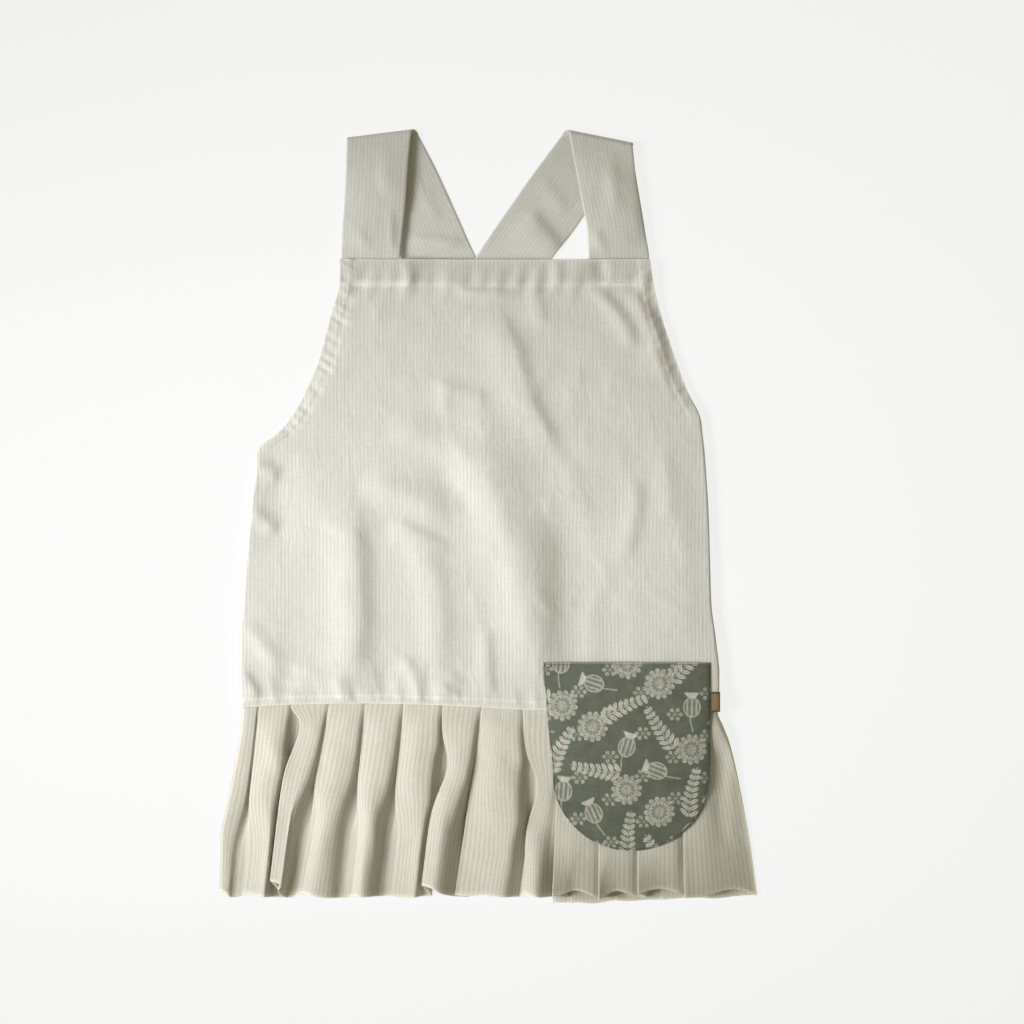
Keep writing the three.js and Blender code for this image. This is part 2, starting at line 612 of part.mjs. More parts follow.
const stripedCotton = new THREE.MeshStandardMaterial({ color: 0xd9d6c9, roughness: 0.95, metalness: 0 });
const strapCotton = new THREE.MeshStandardMaterial({ color: 0xc9c7bb, roughness: 0.95, metalness: 0 });
const pocketCotton = new THREE.MeshStandardMaterial({ color: 0x747a6c, roughness: 0.95, metalness: 0 });
const labelLeather = new THREE.MeshStandardMaterial({ color: 0x7a6038, roughness: 0.7, metalness: 0 });

const apron = new THREE.Group();

function addPiece(name, geometry, material) {
  const piece = new THREE.Mesh(geometry, material);
  piece.name = name;
  apron.add(piece);
}

addPiece("panel", panelGeometry(), stripedCotton);
addPiece("ruffle", ruffleGeometry(), stripedCotton);
Object.entries(STRAPS).forEach(([name, strap]) => addPiece(name, strapGeometry(strap), strapCotton));
addPiece("pocket", pocketGeometry(), pocketCotton);
addPiece("label", labelGeometry(), labelLeather);

export default apron;
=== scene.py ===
"""A cross-back apron lying face up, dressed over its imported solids.

Tables and sizes are in millimetres and are turned to metres once, where a mesh is made. X runs across the
apron, Y up to the straps and Z up from the floor. A sheet of cloth is a grid of points: its columns run
from left to right and its rows downwards, so that the cloth's outer side faces up on the front.
"""

import logging
import math
from dataclasses import dataclass, field
from enum import Enum

import bpy
import numpy as np
from bpy.types import Material, Node, NodeSocket, NodeTree, Object
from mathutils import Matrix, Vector


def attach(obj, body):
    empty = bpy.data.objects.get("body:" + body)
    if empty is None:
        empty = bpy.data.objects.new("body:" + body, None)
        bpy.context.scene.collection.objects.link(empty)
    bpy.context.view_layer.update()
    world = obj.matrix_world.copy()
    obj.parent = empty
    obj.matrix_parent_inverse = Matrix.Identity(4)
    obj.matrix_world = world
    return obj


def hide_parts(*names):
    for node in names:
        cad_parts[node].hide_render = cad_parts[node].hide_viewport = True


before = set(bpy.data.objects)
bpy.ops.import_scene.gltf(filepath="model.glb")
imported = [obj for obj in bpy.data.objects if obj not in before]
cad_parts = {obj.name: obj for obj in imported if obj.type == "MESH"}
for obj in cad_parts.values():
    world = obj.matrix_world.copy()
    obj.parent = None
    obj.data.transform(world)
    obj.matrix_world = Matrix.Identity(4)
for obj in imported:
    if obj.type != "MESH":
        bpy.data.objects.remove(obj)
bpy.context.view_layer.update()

LOG = logging.getLogger("apron")
MM = 0.001
BODY = "root"

Array = np.ndarray
Points = tuple[tuple[float, float], ...]
TINY = 1e-9  # keeps a division by no length at all finite


class Slot(Enum):
    """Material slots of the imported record."""

    STRIPED = "striped_cotton"
    PRINTED = "printed_cotton"
    LABEL = "label_leather"


class Side(Enum):
    """A side of the apron; the value is the direction from its outline inwards."""

    LEFT = 1
    RIGHT = -1


# Small mathematics


def smoothstep(value: Array, low: float, high: float) -> Array:
    """0 below low, 1 above high and an S-curve between them."""
    share = np.clip((np.asarray(value, float) - low) / (high - low), 0.0, 1.0)
    return share * share * (3.0 - 2.0 * share)


def within(value: Array, ends: tuple[float, float], fade: float) -> Array:
    """1 between two ends, fading to 0 at both."""
    return smoothstep(value, ends[0], ends[0] + fade) * smoothstep(ends[1] - value, 0.0, fade)


def bell(distance: Array, reach: Array | float) -> Array:
    """1 at no distance, falling off as exp(-(distance / reach) squared)."""
    return np.exp(-np.square(distance / reach))


def lerp(start: Array | float, end: Array | float, share: Array | float) -> Array:
    """The value at a share of the way from start to end."""
    return start + (end - start) * share


def unit(vectors: Array) -> Array:
    """Vectors of length 1 along the last axis."""
    return vectors / np.maximum(np.linalg.norm(vectors, axis=-1, keepdims=True), TINY)


def ripple(x: Array, y: Array, seed: int, wavelength: float, count: int = 9) -> Array:
    """Soft unevenness from about -1 to 1: a mean of sine waves in seeded directions, lengths and phases.

    Args:
        x: Places across, in millimetres.
        y: Places along, in millimetres.
        seed: Seed of the draw.
        wavelength: Middle length of the waves in millimetres.
        count: Number of waves.

    Returns:
        The unevenness at each place.
    """
    draw = np.random.default_rng(seed)
    total = np.zeros(np.broadcast(x, y).shape)
    for _ in range(count):
        angle, phase = draw.uniform(0.0, 2.0 * math.pi, 2)
        step = 2.0 * math.pi / (wavelength * draw.uniform(0.6, 1.7))
        total += np.sin((x * math.cos(angle) + y * math.sin(angle)) * step + phase)
    return total / math.sqrt(2.0 * count)


@dataclass(frozen=True)
class Unevenness:
    """Soft unevenness of the cloth: a height in millimetres, the seed of its waves and their middle length."""

    height: float
    seed: int
    wavelength: float

    def relief(self, x: Array, y: Array) -> Array:
        """The unevenness at places."""
        return self.height * ripple(x, y, self.seed, self.wavelength)


def distances(line: Array) -> Array:
    """How far each point of a line lies from its start, along the line."""
    step = np.linalg.norm(np.diff(line, axis=0), axis=1)
    return np.concatenate([[0.0], np.cumsum(step)])


@dataclass(frozen=True)
class Curve:
    """A smooth line through table rows (key, value) that never overshoots a row.

    Between two rows it is a cubic whose slope at a row is the harmonic mean of the slopes on both sides,
    or 0 where they differ in sign.
    """

    rows: Points

    def __call__(self, at: Array | float) -> Array:
        """The line's value at each key; outside the table the end values hold."""
        keys, values = np.array(sorted(self.rows), float).T
        step = np.diff(keys)
        slope = np.diff(values) / step
        before, after = slope[:-1], slope[1:]
        agree = before * after > 0
        inner = np.where(agree, 2.0 * before * after / np.where(agree, before + after, 1.0), 0.0)
        tangent = np.concatenate([slope[:1], inner, slope[-1:]])
        place = np.clip(np.asarray(at, float), keys[0], keys[-1])
        i = np.clip(np.searchsorted(keys, place) - 1, 0, len(step) - 1)
        t = (place - keys[i]) / step[i]
        return (
            values[i] * (1 + 2 * t) * (1 - t) ** 2
            + tangent[i] * step[i] * t * (1 - t) ** 2
            + values[i + 1] * t * t * (3 - 2 * t)
            + tangent[i + 1] * step[i] * t * t * (t - 1)
        )


@dataclass(frozen=True)
class Fold:
    """A ridge in the cloth whose crest runs down through a few points (x, y)."""

    crest: Points
    height: float
    left: float
    right: float
    fade_in: float = 0.3
    fade_out: float = 0.25

    def relief(self, x: Array, y: Array) -> Array:
        """The ridge's height: a bell across the crest, with its own reach on each side, fading at both ends."""
        line = Curve(tuple((cy, cx) for cx, cy in self.crest))
        top, end = self.crest[0][1], self.crest[-1][1]
        t = (top - y) / (top - end)
        taper = smoothstep(t, 0.0, self.fade_in) * smoothstep(1.0 - t, 0.0, self.fade_out)
        distance = x - line(y)
        return self.height * taper * bell(distance, np.where(distance < 0, self.left, self.right))


@dataclass(frozen=True)
class Wrinkle:
    """A short crease from a start to an end, bowed to its left.

    Its reach is above on its left side and below on its right, and fade gives the shares of its length,
    from a little before its start, over which it rises and falls.
    """

    start: tuple[float, float]
    end: tuple[float, float]
    height: float
    above: float
    below: float
    bow: float = 0.0
    fade: tuple[float, float] = (-0.1, 0.25)

    def relief(self, x: Array, y: Array) -> Array:
        """The crease's height: a bell across its bowed line, fading at both ends."""
        dx, dy = self.end[0] - self.start[0], self.end[1] - self.start[1]
        length = math.hypot(dx, dy)
        along = ((x - self.start[0]) * dx + (y - self.start[1]) * dy) / length**2
        across = ((y - self.start[1]) * dx - (x - self.start[0]) * dy) / length
        across = across - self.bow * 4.0 * along * (1.0 - along)
        taper = smoothstep(along, *self.fade) * smoothstep(1.0 - along, *self.fade)
        return self.height * taper * bell(across, np.where(across > 0, self.above, self.below))


def scattered_wrinkles(
    seed: int, count: int, area: tuple[float, float, float, float], height: float
) -> tuple[Wrinkle, ...]:
    """Small seeded creases over an area, mostly running downwards.

    Args:
        seed: Seed of the draw.
        count: Number of creases.
        area: Left, right, bottom and top of the area.
        height: Largest height of a crease.

    Returns:
        The creases.
    """
    draw = np.random.default_rng(seed)
    left, right, bottom, top = area
    made = []
    for _ in range(count):
        x, y = draw.uniform(left, right), draw.uniform(bottom, top)
        angle = math.radians(draw.normal(-80.0, 28.0))
        length = draw.uniform(18.0, 60.0)
        end = (x + length * math.cos(angle), y + length * math.sin(angle))
        reach = draw.uniform(6.0, 14.0)
        made.append(
            Wrinkle((x, y), end, height * draw.uniform(0.4, 1.0), reach, reach * 0.8, draw.uniform(-5.0, 5.0))
        )
    return tuple(made)


# Meshes

FLAT_CLOTH = "flat_cloth"  # the UV map; the next three are values at points
# wear, and along the bib's hem line painted highlight, both drawn in the rubbed colour
WEAR_AND_HIGHLIGHT = "wear"
# where the cloth lies double; the striped cotton darkens its colour there as painted shade, for the light from
# below that a single layer lets through
DOUBLED_SHADE = "doubled"
INK = "ink"
SHARPEST_MITRE = 0.6  # on a sharp fold the wall's corners reach at most 1 / 0.6 of half its thickness
EDGE_ROUND = 0.42  # how far the middle of a cut edge stands out, as a share of the thickness


@dataclass
class Sheet:
    """A grid of cloth: points (columns, rows, 3), flat places (columns, rows, 2) and values at each point."""

    points: Array
    flat: Array
    marks: dict[str, Array] = field(default_factory=dict)


def make_piece(
    name: str, points: Array, faces: Array, flat: Array | None = None, marks: dict[str, Array] | None = None
) -> Object:
    """A smooth object at the origin from points in millimetres and faces of four corners.

    Args:
        name: The piece's name.
        points: Points (count, 3).
        faces: Corner numbers (count, 4), counter-clockwise seen from outside.
        flat: Place of each point on the flat cloth, which becomes the UV map in metres.
        marks: Values at each point, kept as float attributes.

    Returns:
        The object, linked to the scene.
    """
    mesh = bpy.data.meshes.new(name)
    mesh.vertices.add(len(points))
    mesh.vertices.foreach_set("co", (points * MM).astype(np.float32).ravel())
    mesh.loops.add(faces.size)
    mesh.loops.foreach_set("vertex_index", faces.astype(np.int32).ravel())
    mesh.polygons.add(len(faces))
    mesh.polygons.foreach_set("loop_start", np.arange(0, faces.size, 4, dtype=np.int32))
    mesh.polygons.foreach_set("use_smooth", np.ones(len(faces), bool))
    if flat is not None:
        layer = mesh.uv_layers.new(name=FLAT_CLOTH)
        layer.uv.foreach_set("vector", (flat[faces.ravel()] * MM).astype(np.float32).ravel())
    for mark, values in (marks or {}).items():
        mesh.attributes.new(mark, "FLOAT", "POINT").data.foreach_set("value", values.astype(np.float32))
    mesh.update(calc_edges=True)
    mesh.validate()
    piece = bpy.data.objects.new(name, mesh)
    bpy.context.scene.collection.objects.link(piece)
    return piece


def sheet_normals(points: Array, cells: Array) -> tuple[Array, Array]:
    """Mean direction of the cells round each point.

    A cell's direction is the cross product of its two diagonals, made length 1.

    Args:
        points: Grid of points.
        cells: Which cells are cloth.

    Returns:
        The unit directions, and how far the cells round each point agree, from 0 to 1.
    """
    columns, rows = points.shape[:2]
    cell = np.cross(points[1:, 1:] - points[:-1, :-1], points[1:, :-1] - points[:-1, 1:])
    cell = unit(cell) * cells[..., None]
    total, count = np.zeros_like(points), np.zeros((columns, rows, 1))
    for i in (0, 1):
        for j in (0, 1):
            total[i : columns - 1 + i, j : rows - 1 + j] += cell
            count[i : columns - 1 + i, j : rows - 1 + j, 0] += cells
    agreement = np.linalg.norm(total, axis=2, keepdims=True) / np.maximum(count, 1.0)
    return unit(total), agreement


def cloth_wall(name: str, sheet: Sheet, thickness: float, cells: Array | None = None) -> Object:
    """A closed wall of even thickness along a sheet, mitred at its folds and rounded at its cut edges.

    Both sides lie half the thickness from the sheet along its direction. A cut edge has a third row of
    points, on the sheet's own border and pushed outwards, so that it turns over in a small round.

    Args:
        name: The piece's name.
        sheet: Middle of the cloth.
        thickness: Thickness of the cloth.
        cells: Which cells of the grid are cloth; all of them if left out.

    Returns:
        The object.
    """
    columns, rows = sheet.points.shape[:2]
    count = columns * rows
    cells = np.ones((columns - 1, rows - 1), bool) if cells is None else cells
    normal, agreement = sheet_normals(sheet.points, cells)
    offset = (normal * (thickness / 2) / np.maximum(agreement, SHARPEST_MITRE)).reshape(-1, 3)
    middle, up = sheet.points.reshape(-1, 3), normal.reshape(-1, 3)

    number = np.arange(count).reshape(columns, rows)
    corners = [number[:-1, :-1], number[:-1, 1:], number[1:, 1:], number[1:, :-1]]
    quads = np.stack(corners, axis=-1)[cells]
    edges = np.concatenate([quads[:, [i, (i + 1) % 4]] for i in range(4)])
    start, end = edges[~np.isin(edges[:, 0] * count + edges[:, 1], edges[:, 1] * count + edges[:, 0])].T

    sideways = unit(np.cross(middle[end] - middle[start], up[start] + up[end]))
    outward = np.zeros_like(middle)
    np.add.at(outward, start, sideways)
    np.add.at(outward, end, sideways)
    border = middle + unit(outward) * thickness * EDGE_ROUND

    low, rim = count, 2 * count
    faces = np.concatenate(
        [
            quads,
            quads[:, [0, 3, 2, 1]] + low,
            np.stack([end, start, start + rim, end + rim], axis=1),
            np.stack([end + rim, start + rim, start + low, end + low], axis=1),
        ]
    )
    used, faces = np.unique(faces, return_inverse=True)
    points = np.concatenate([middle + offset, middle - offset, border])[used]
    flat = np.tile(sheet.flat.reshape(-1, 2), (3, 1))[used]
    marks = {mark: np.tile(values.ravel(), 3)[used] for mark, values in sheet.marks.items()}
    return make_piece(name, points, faces.reshape(-1, 4), flat, marks)


@dataclass(frozen=True)
class SeamPath:
    """A line on the cloth that stitches follow, with the direction that the cloth faces there."""

    line: Array
    up: Array

    def at(self, distance: Array) -> tuple[Array, Array]:
        """Points and directions at distances along the line."""
        along = distances(self.line)

        def read(values: Array) -> Array:
            """Points or directions between those of the line."""
            return np.stack([np.interp(distance, along, values[:, i]) for i in range(3)], axis=-1)

        return read(self.line), unit(read(self.up))

    def length(self) -> float:
        """Length of the line."""
        return float(distances(self.line)[-1])


@dataclass(frozen=True)
class Stitching:
    """Sewing stitches: short rounded threads in a row, their ends dipping into the cloth."""

    length: float = 2.7
    pitch: float = 3.4
    radius: float = 0.36  # sewing thread is half as thick; drawn coarser so that it shows
    sides: int = 6

    def build(self, name: str, paths: list[SeamPath]) -> Object:
        """One mesh of all stitches on some paths.

        Along a stitch the radius and the lift over the cloth follow short profiles; across it is a hexagon.

        Args:
            name: The piece's name.
            paths: Lines that the rows follow.

        Returns:
            The object.
        """
        reach = np.array([-0.5, -0.36, 0.0, 0.36, 0.5]) * self.length
        swell = np.array([0.35, 0.85, 1.0, 0.85, 0.35]) * self.radius
        lift = np.array([-0.5, 0.1, 0.35, 0.1, -0.5]) * self.radius
        rings = []
        angle = np.arange(self.sides) * 2.0 * math.pi / self.sides
        for path in paths:
            centre = np.arange(self.pitch / 2, path.length() - self.pitch / 2, self.pitch)
            place, up = path.at(centre[:, None] + reach)
            along = unit(np.gradient(place, axis=1))
            across = unit(np.cross(along, up))
            upright = np.cross(across, along)
            turn = np.cos(angle)[:, None] * across[:, :, None] + np.sin(angle)[:, None] * upright[:, :, None]
            core = place + upright * lift[:, None]
            rings.append(core[:, :, None] + turn * swell[:, None, None])
        return tube_mesh(name, np.concatenate(rings))


def tube_mesh(name: str, rings: Array) -> Object:
    """One mesh of many short closed tubes.

    Args:
        name: The piece's name.
        rings: Points (tubes, rings, sides, 3); sides is even, and run counter-clockwise about the tube.

    Returns:
        The object.
    """
    tubes, stations, sides = rings.shape[:3]
    number = np.arange(tubes * stations * sides).reshape(tubes, stations, sides)
    following = np.roll(number, -1, axis=2)
    bands = np.stack([number[:, :-1], following[:, :-1], following[:, 1:], number[:, 1:]], axis=-1)
    first, last = number[:, 0], number[:, -1]
    caps = []
    for i in range(1, sides - 2, 2):
        caps.append(first[:, [0, i + 2, i + 1, i]])
        caps.append(last[:, [0, i, i + 1, i + 2]])
    faces = np.concatenate([bands.reshape(-1, 4), *caps])
    return make_piece(name, rings.reshape(-1, 3), faces[:, ::-1])


# Finishes


def linear(colour: str) -> tuple[float, float, float, float]:
    """An sRGB hex colour as linear light with alpha 1."""
    parts = [int(colour[i : i + 2], 16) / 255.0 for i in (1, 3, 5)]
    light = [part / 12.92 if part <= 0.04045 else ((part + 0.055) / 1.055) ** 2.4 for part in parts]
    return (*light, 1.0)


Sockets = dict[str | int, object]


def add_node(tree: NodeTree, kind: str, sockets: Sockets | None = None, **settings: object) -> Node:
    """Adds a node with its settings, and its sockets' values or links.

    Args:
        tree: The node tree.
        kind: The shader node's type name, without its first part.
        sockets: Values, or the output sockets to link, by input name or number.
        settings: The node's own properties.

    Returns:
        The node.
    """
    node = tree.nodes.new("ShaderNode" + kind)
    for name, value in settings.items():
        setattr(node, name, value)
    for key, value in (sockets or {}).items():
        if isinstance(value, NodeSocket):
            tree.links.new(value, node.inputs[key])
        else:
            node.inputs[key].default_value = value
    return node


@dataclass(frozen=True, kw_only=True)
class Finish:
    """A finish, with its material's name; each kind says what its surface is."""

    name: str

    def surface(self, tree: NodeTree) -> Sockets:
        """Adds the finish's own nodes, and gives the values and links of the shader's sockets."""
        raise NotImplementedError

    def build(self) -> Material:
        """The node material: the surface on one shader."""
        material = bpy.data.materials.new(self.name)
        material.use_nodes = True
        tree = material.node_tree
        tree.nodes.clear()
        shader = add_node(tree, "BsdfPrincipled", self.surface(tree))
        add_node(tree, "OutputMaterial", {"Surface": shader.outputs[0]})
        return material


def per_metre(size: float) -> float:
    """How often a size in millimetres goes into a metre, which is the scale of its pattern."""
    return 1.0 / (size * MM)


@dataclass(frozen=True, kw_only=True)
class WashedCotton(Finish):
    """Plain woven cotton, washed soft.

    To the eye: uneven slub threads, paler rubbed edges, and a faint bloom at grazing angles but no gloss.
    """

    # colour of rubbed edges, also used for the painted highlight along the bib's hem line
    rubbed: str
    thread: float = 1.3  # real threads are 0.4 mm apart; drawn coarser so that the weave shows
    slub: float = 11.0  # length of a thread's thicker places, in thread spacings
    tones: tuple[float, float]  # factors on the colour in the hollows and on the threads
    roughness: float
    bloom: float

    def weave(self, tree: NodeTree, place: NodeSocket) -> NodeSocket:
        """Height of the crossing threads from 0 to 1.

        Two noises are stretched along the cloth's two thread directions, and the higher one shows.

        Args:
            tree: The node tree.
            place: Flat place on the cloth in metres.

        Returns:
            The output socket.
        """
        fine, long = per_metre(self.thread), per_metre(self.thread * self.slub)
        threads = []
        for scale in ((fine, long, 1.0), (long, fine, 1.0)):
            stretched = add_node(tree, "Mapping", {"Vector": place, "Scale": scale})
            slubs = {"Vector": stretched.outputs[0], "Scale": 1.0, "Detail": 1.0}
            threads.append(add_node(tree, "TexNoise", slubs).outputs["Fac"])
        return add_node(tree, "Math", dict(enumerate(threads)), operation="MAXIMUM").outputs[0]

    def worn(
        self, tree: NodeTree, dyed: NodeSocket, weave: NodeSocket, shade: NodeSocket, under: Sockets
    ) -> Sockets:
        """The dyed colour times its threads' tone and a further shade, going over to the rubbed one by wear and, on
        the bib's hem line, by painted highlight.

        Args:
            tree: The node tree.
            dyed: The colour before wear.
            weave: Height of the threads.
            shade: A further factor on the colour: painted shade where the striped cotton lies double, the washing's
                clouds on the printed one.
            under: The bump under the threads, if there is one.

        Returns:
            The shader's sockets.
        """
        low, high = self.tones
        heights = {"Value": weave, "From Min": 0.35, "From Max": 0.8, "To Min": low, "To Max": high}
        tone = add_node(tree, "MapRange", heights)
        both = add_node(tree, "Math", {0: tone.outputs[0], 1: shade}, operation="MULTIPLY")
        toned = add_node(tree, "VectorMath", {0: dyed, 1: both.outputs[0]}, operation="MULTIPLY")
        wear = add_node(tree, "Attribute", attribute_name=WEAR_AND_HIGHLIGHT)
        worn = {"Factor": wear.outputs["Fac"], 6: toned.outputs[0], 7: linear(self.rubbed)}
        standing = {"Height": weave, "Strength": 0.35, "Distance": 0.4 * MM, **under}
        return {
            "Base Color": add_node(tree, "Mix", worn, data_type="RGBA").outputs[2],
            "Roughness": self.roughness,
            "Specular IOR Level": 0.2,
            "Sheen Weight": self.bloom,
            "Sheen Roughness": 0.5,
            "Normal": add_node(tree, "Bump", standing).outputs[0],
        }


@dataclass(frozen=True, kw_only=True)
class StripedCotton(WashedCotton):
    """Yarn-dyed linen-look cotton, plain woven in narrow stripes and washed soft.

    To the eye: washed cotton with soft low-contrast stripes, whose borders wander slightly.
    """

    pale: str
    dark: str
    stripe_pitch: float = 4.4
    patch: float = 18.18  # width of the patches where the dye has faded
    crease: tuple[float, float] = (14.29, 33.33)  # width and length of the small creases that washing leaves
    crease_height: float = 0.7
    crease_turn: float = 0.3  # radians from the stripes
    # painted shade: the factor on the colour where the cloth lies double
    painted_hem_shade: float = 0.96  # a turned hem lets no light through from below, so it looks darker
    tones: tuple[float, float] = (0.93, 1.06)
    roughness: float = 0.93
    bloom: float = 0.12

    def surface(self, tree: NodeTree) -> Sockets:
        """Adds the nodes, and gives the shader's sockets."""
        place = add_node(tree, "UVMap", uv_map=FLAT_CLOTH).outputs[0]
        # A wave texture repeats every 2 pi / (20 x scale).
        bands = {
            "Vector": place,
            "Scale": 2.0 * math.pi / 20.0 * per_metre(self.stripe_pitch),
            "Distortion": 0.9,
            "Detail": 2.0,
            "Detail Scale": 1.4,
        }
        stripes = add_node(tree, "TexWave", bands, wave_type="BANDS", bands_direction="X")
        soft = {"Value": stripes.outputs["Fac"], "From Min": 0.3, "From Max": 0.7}
        border = add_node(tree, "MapRange", soft, interpolation_type="SMOOTHSTEP")
        patches = {"Vector": place, "Scale": per_metre(self.patch), "Detail": 3.0}
        fading = add_node(tree, "TexNoise", patches)
        faded = {"Value": fading.outputs["Fac"], "To Min": 0.55, "To Max": 1.2}
        depth = add_node(tree, "MapRange", faded)
        dye = {0: border.outputs[0], 1: depth.outputs[0]}
        amount = add_node(tree, "Math", dye, operation="MULTIPLY", use_clamp=True)
        yarns = {"Factor": amount.outputs[0], 6: linear(self.pale), 7: linear(self.dark)}
        striped = add_node(tree, "Mix", yarns, data_type="RGBA")
        # Painted shade: where the cloth lies double its colour is darkened, for the light from below that it no
        # longer lets through.
        layers = add_node(tree, "Attribute", attribute_name=DOUBLED_SHADE)
        darker = {"Value": layers.outputs["Fac"], "To Min": 1.0, "To Max": self.painted_hem_shade}
        hem_shade = add_node(tree, "MapRange", darker)
        width, length = (per_metre(size) for size in self.crease)
        turned = {"Vector": place, "Rotation": (0.0, 0.0, self.crease_turn), "Scale": (width, length, 1.0)}
        slanted = add_node(tree, "Mapping", turned).outputs[0]
        crumple = {"Vector": slanted, "Scale": 1.0, "Detail": 3.0, "Roughness": 0.45, "Distortion": 0.9}
        creases = add_node(tree, "TexNoise", crumple).outputs["Fac"]
        deep = {"Height": creases, "Strength": 1.0, "Distance": self.crease_height * MM}
        under = {"Normal": add_node(tree, "Bump", deep).outputs[0]}
        return self.worn(tree, striped.outputs[2], self.weave(tree, place), hem_shade.outputs[0], under)


@dataclass(frozen=True, kw_only=True)
class PrintedCotton(WashedCotton):
    """Plain cotton printed in one pale ink on a sage grey ground.

    To the eye: matt, cloudy from washing, the ink slightly broken where the threads stand up.
    """

    ground: str
    ink: str
    cloud: float = 14.29  # width of the clouds that washing leaves in the dye
    tones: tuple[float, float] = (0.88, 1.1)
    roughness: float = 0.92
    bloom: float = 0.1

    def surface(self, tree: NodeTree) -> Sockets:
        """Adds the nodes, and gives the shader's sockets."""
        place = add_node(tree, "UVMap", uv_map=FLAT_CLOTH).outputs[0]
        weave = self.weave(tree, place)
        ink = add_node(tree, "Attribute", attribute_name=INK)
        standing = {"Value": weave, "From Min": 0.35, "From Max": 0.75, "To Min": 1.08, "To Max": 0.8}
        broken = add_node(tree, "MapRange", standing)
        cover = {0: ink.outputs["Fac"], 1: broken.outputs[0]}
        amount = add_node(tree, "Math", cover, operation="MULTIPLY", use_clamp=True)
        inks = {"Factor": amount.outputs[0], 6: linear(self.ground), 7: linear(self.ink)}
        printed = add_node(tree, "Mix", inks, data_type="RGBA")
        cloudy = {"Vector": place, "Scale": per_metre(self.cloud), "Detail": 4.0, "Roughness": 0.6}
        clouds = add_node(tree, "TexNoise", cloudy).outputs["Fac"]
        faded = {"Value": clouds, "From Min": 0.3, "From Max": 0.7, "To Min": 0.86, "To Max": 1.12}
        washed = add_node(tree, "MapRange", faded).outputs[0]
        return self.worn(tree, printed.outputs[2], weave, washed, {})


@dataclass(frozen=True, kw_only=True)
class SewingThread(Finish):
    """Spun cotton thread.

    To the eye: matt and slightly mottled, with the twist too fine to see.
    """

    colour: str
    shade: str
    mottle: float = 1.43  # width of the darker flecks in the yarn
    roughness: float = 0.85

    def surface(self, tree: NodeTree) -> Sockets:
        """Adds the nodes, and gives the shader's sockets."""
        place = add_node(tree, "TexCoord").outputs["Object"]
        flecks = {"Vector": place, "Scale": per_metre(self.mottle), "Detail": 2.0}
        mottle = add_node(tree, "TexNoise", flecks).outputs["Fac"]
        yarn = {"Factor": mottle, 6: linear(self.colour), 7: linear(self.shade)}
        colour = add_node(tree, "Mix", yarn, data_type="RGBA")
        bump = add_node(tree, "Bump", {"Height": mottle, "Strength": 0.4, "Distance": 0.2 * MM})
        return {
            "Base Color": colour.outputs[2],
            "Roughness": self.roughness,
            "Specular IOR Level": 0.25,
            "Normal": bump.outputs[0],
        }


@dataclass(frozen=True, kw_only=True)
class LabelLeather(Finish):
    """Vegetable-tanned leather, cut and dyed brown.

    To the eye: warm brown with a fine pebbled grain, a little gloss, darker burnished edges.
    """

    face: str
    burnished: str
    grain: float = 0.8
    cloud: float = 5.56  # width of the clouds in the dye
    roughness: float = 0.55

    def surface(self, tree: NodeTree) -> Sockets:
        """Adds the nodes, and gives the shader's sockets."""
        place = add_node(tree, "TexCoord").outputs["Object"]
        pebbles = {"Vector": place, "Scale": per_metre(self.grain)}
        grain = add_node(tree, "TexVoronoi", pebbles, feature="SMOOTH_F1")
        cloudy = {"Vector": place, "Scale": per_metre(self.cloud), "Detail": 3.0}
        cloud = add_node(tree, "TexNoise", cloudy)
        edge = add_node(tree, "Attribute", attribute_name=WEAR_AND_HIGHLIGHT)
        uneven = {"Value": cloud.outputs["Fac"], "To Min": -0.15, "To Max": 0.3}
        patch = add_node(tree, "MapRange", uneven)
        rubbed = {0: edge.outputs["Fac"], 1: patch.outputs[0]}
        amount = add_node(tree, "Math", rubbed, operation="ADD", use_clamp=True)
        browns = {"Factor": amount.outputs[0], 6: linear(self.face), 7: linear(self.burnished)}
        colour = add_node(tree, "Mix", browns, data_type="RGBA")
        pebbled = {"Height": grain.outputs["Distance"], "Strength": 0.3, "Distance": 0.3 * MM}
        bump = add_node(tree, "Bump", pebbled)
        return {"Base Color": colour.outputs[2], "Roughness": self.roughness, "Normal": bump.outputs[0]}


@dataclass(frozen=True, kw_only=True)
class PaperSweep(Finish):
    """Matt white studio paper on a light table.

    To the eye: even and almost white, with the faintest mottle and soft pale shadows.
    """

    name: str = "studio_paper"
    tone: str = "#656568"
    mottled: str = "#636366"
    mottle: float = 33.33  # width of the clouds in the pulp
    glow: float = 0.82  # lit through from below, as on a light table
    roughness: float = 0.95

    def surface(self, tree: NodeTree) -> Sockets:
        """Adds the nodes, and gives the shader's sockets."""
        place = add_node(tree, "TexCoord").outputs["Object"]
        noise = add_node(tree, "TexNoise", {"Vector": place, "Scale": per_metre(self.mottle)})
        pulp = {"Factor": noise.outputs["Fac"], 6: linear(self.tone), 7: linear(self.mottled)}
        colour = add_node(tree, "Mix", pulp, data_type="RGBA")
        return {
            "Base Color": colour.outputs[2],
            "Roughness": self.roughness,
            "Specular IOR Level": 0.0,
            "Emission Color": linear("#ffffff"),
            "Emission Strength": self.glow,
        }


def dress(piece: Object, material: Material, node: str) -> Object:
    """Gives a piece its material and its body, and hides the CAD node that it stands for."""
    piece.data.materials.append(material)
    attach(piece, BODY)
    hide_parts(node)
    return piece


# Sizes that several pieces share

CLOTH = 0.8  # one layer of washed cotton with its nap
LAYER = 1.3  # from the middle of one layer to the next where they are stitched flat
BIB_TOP = 296.0
SEAM = -215.0
HEM = -432.0
SEAM_LAP = 8.0
STRAP_TUCK = 27.0
BACK_HEIGHT = 0.5
FOLD_TURNS = np.array([0.0, 18.0, 36.0, 54.0, 72.0, 90.0])  # columns round half of a side fold, in degrees

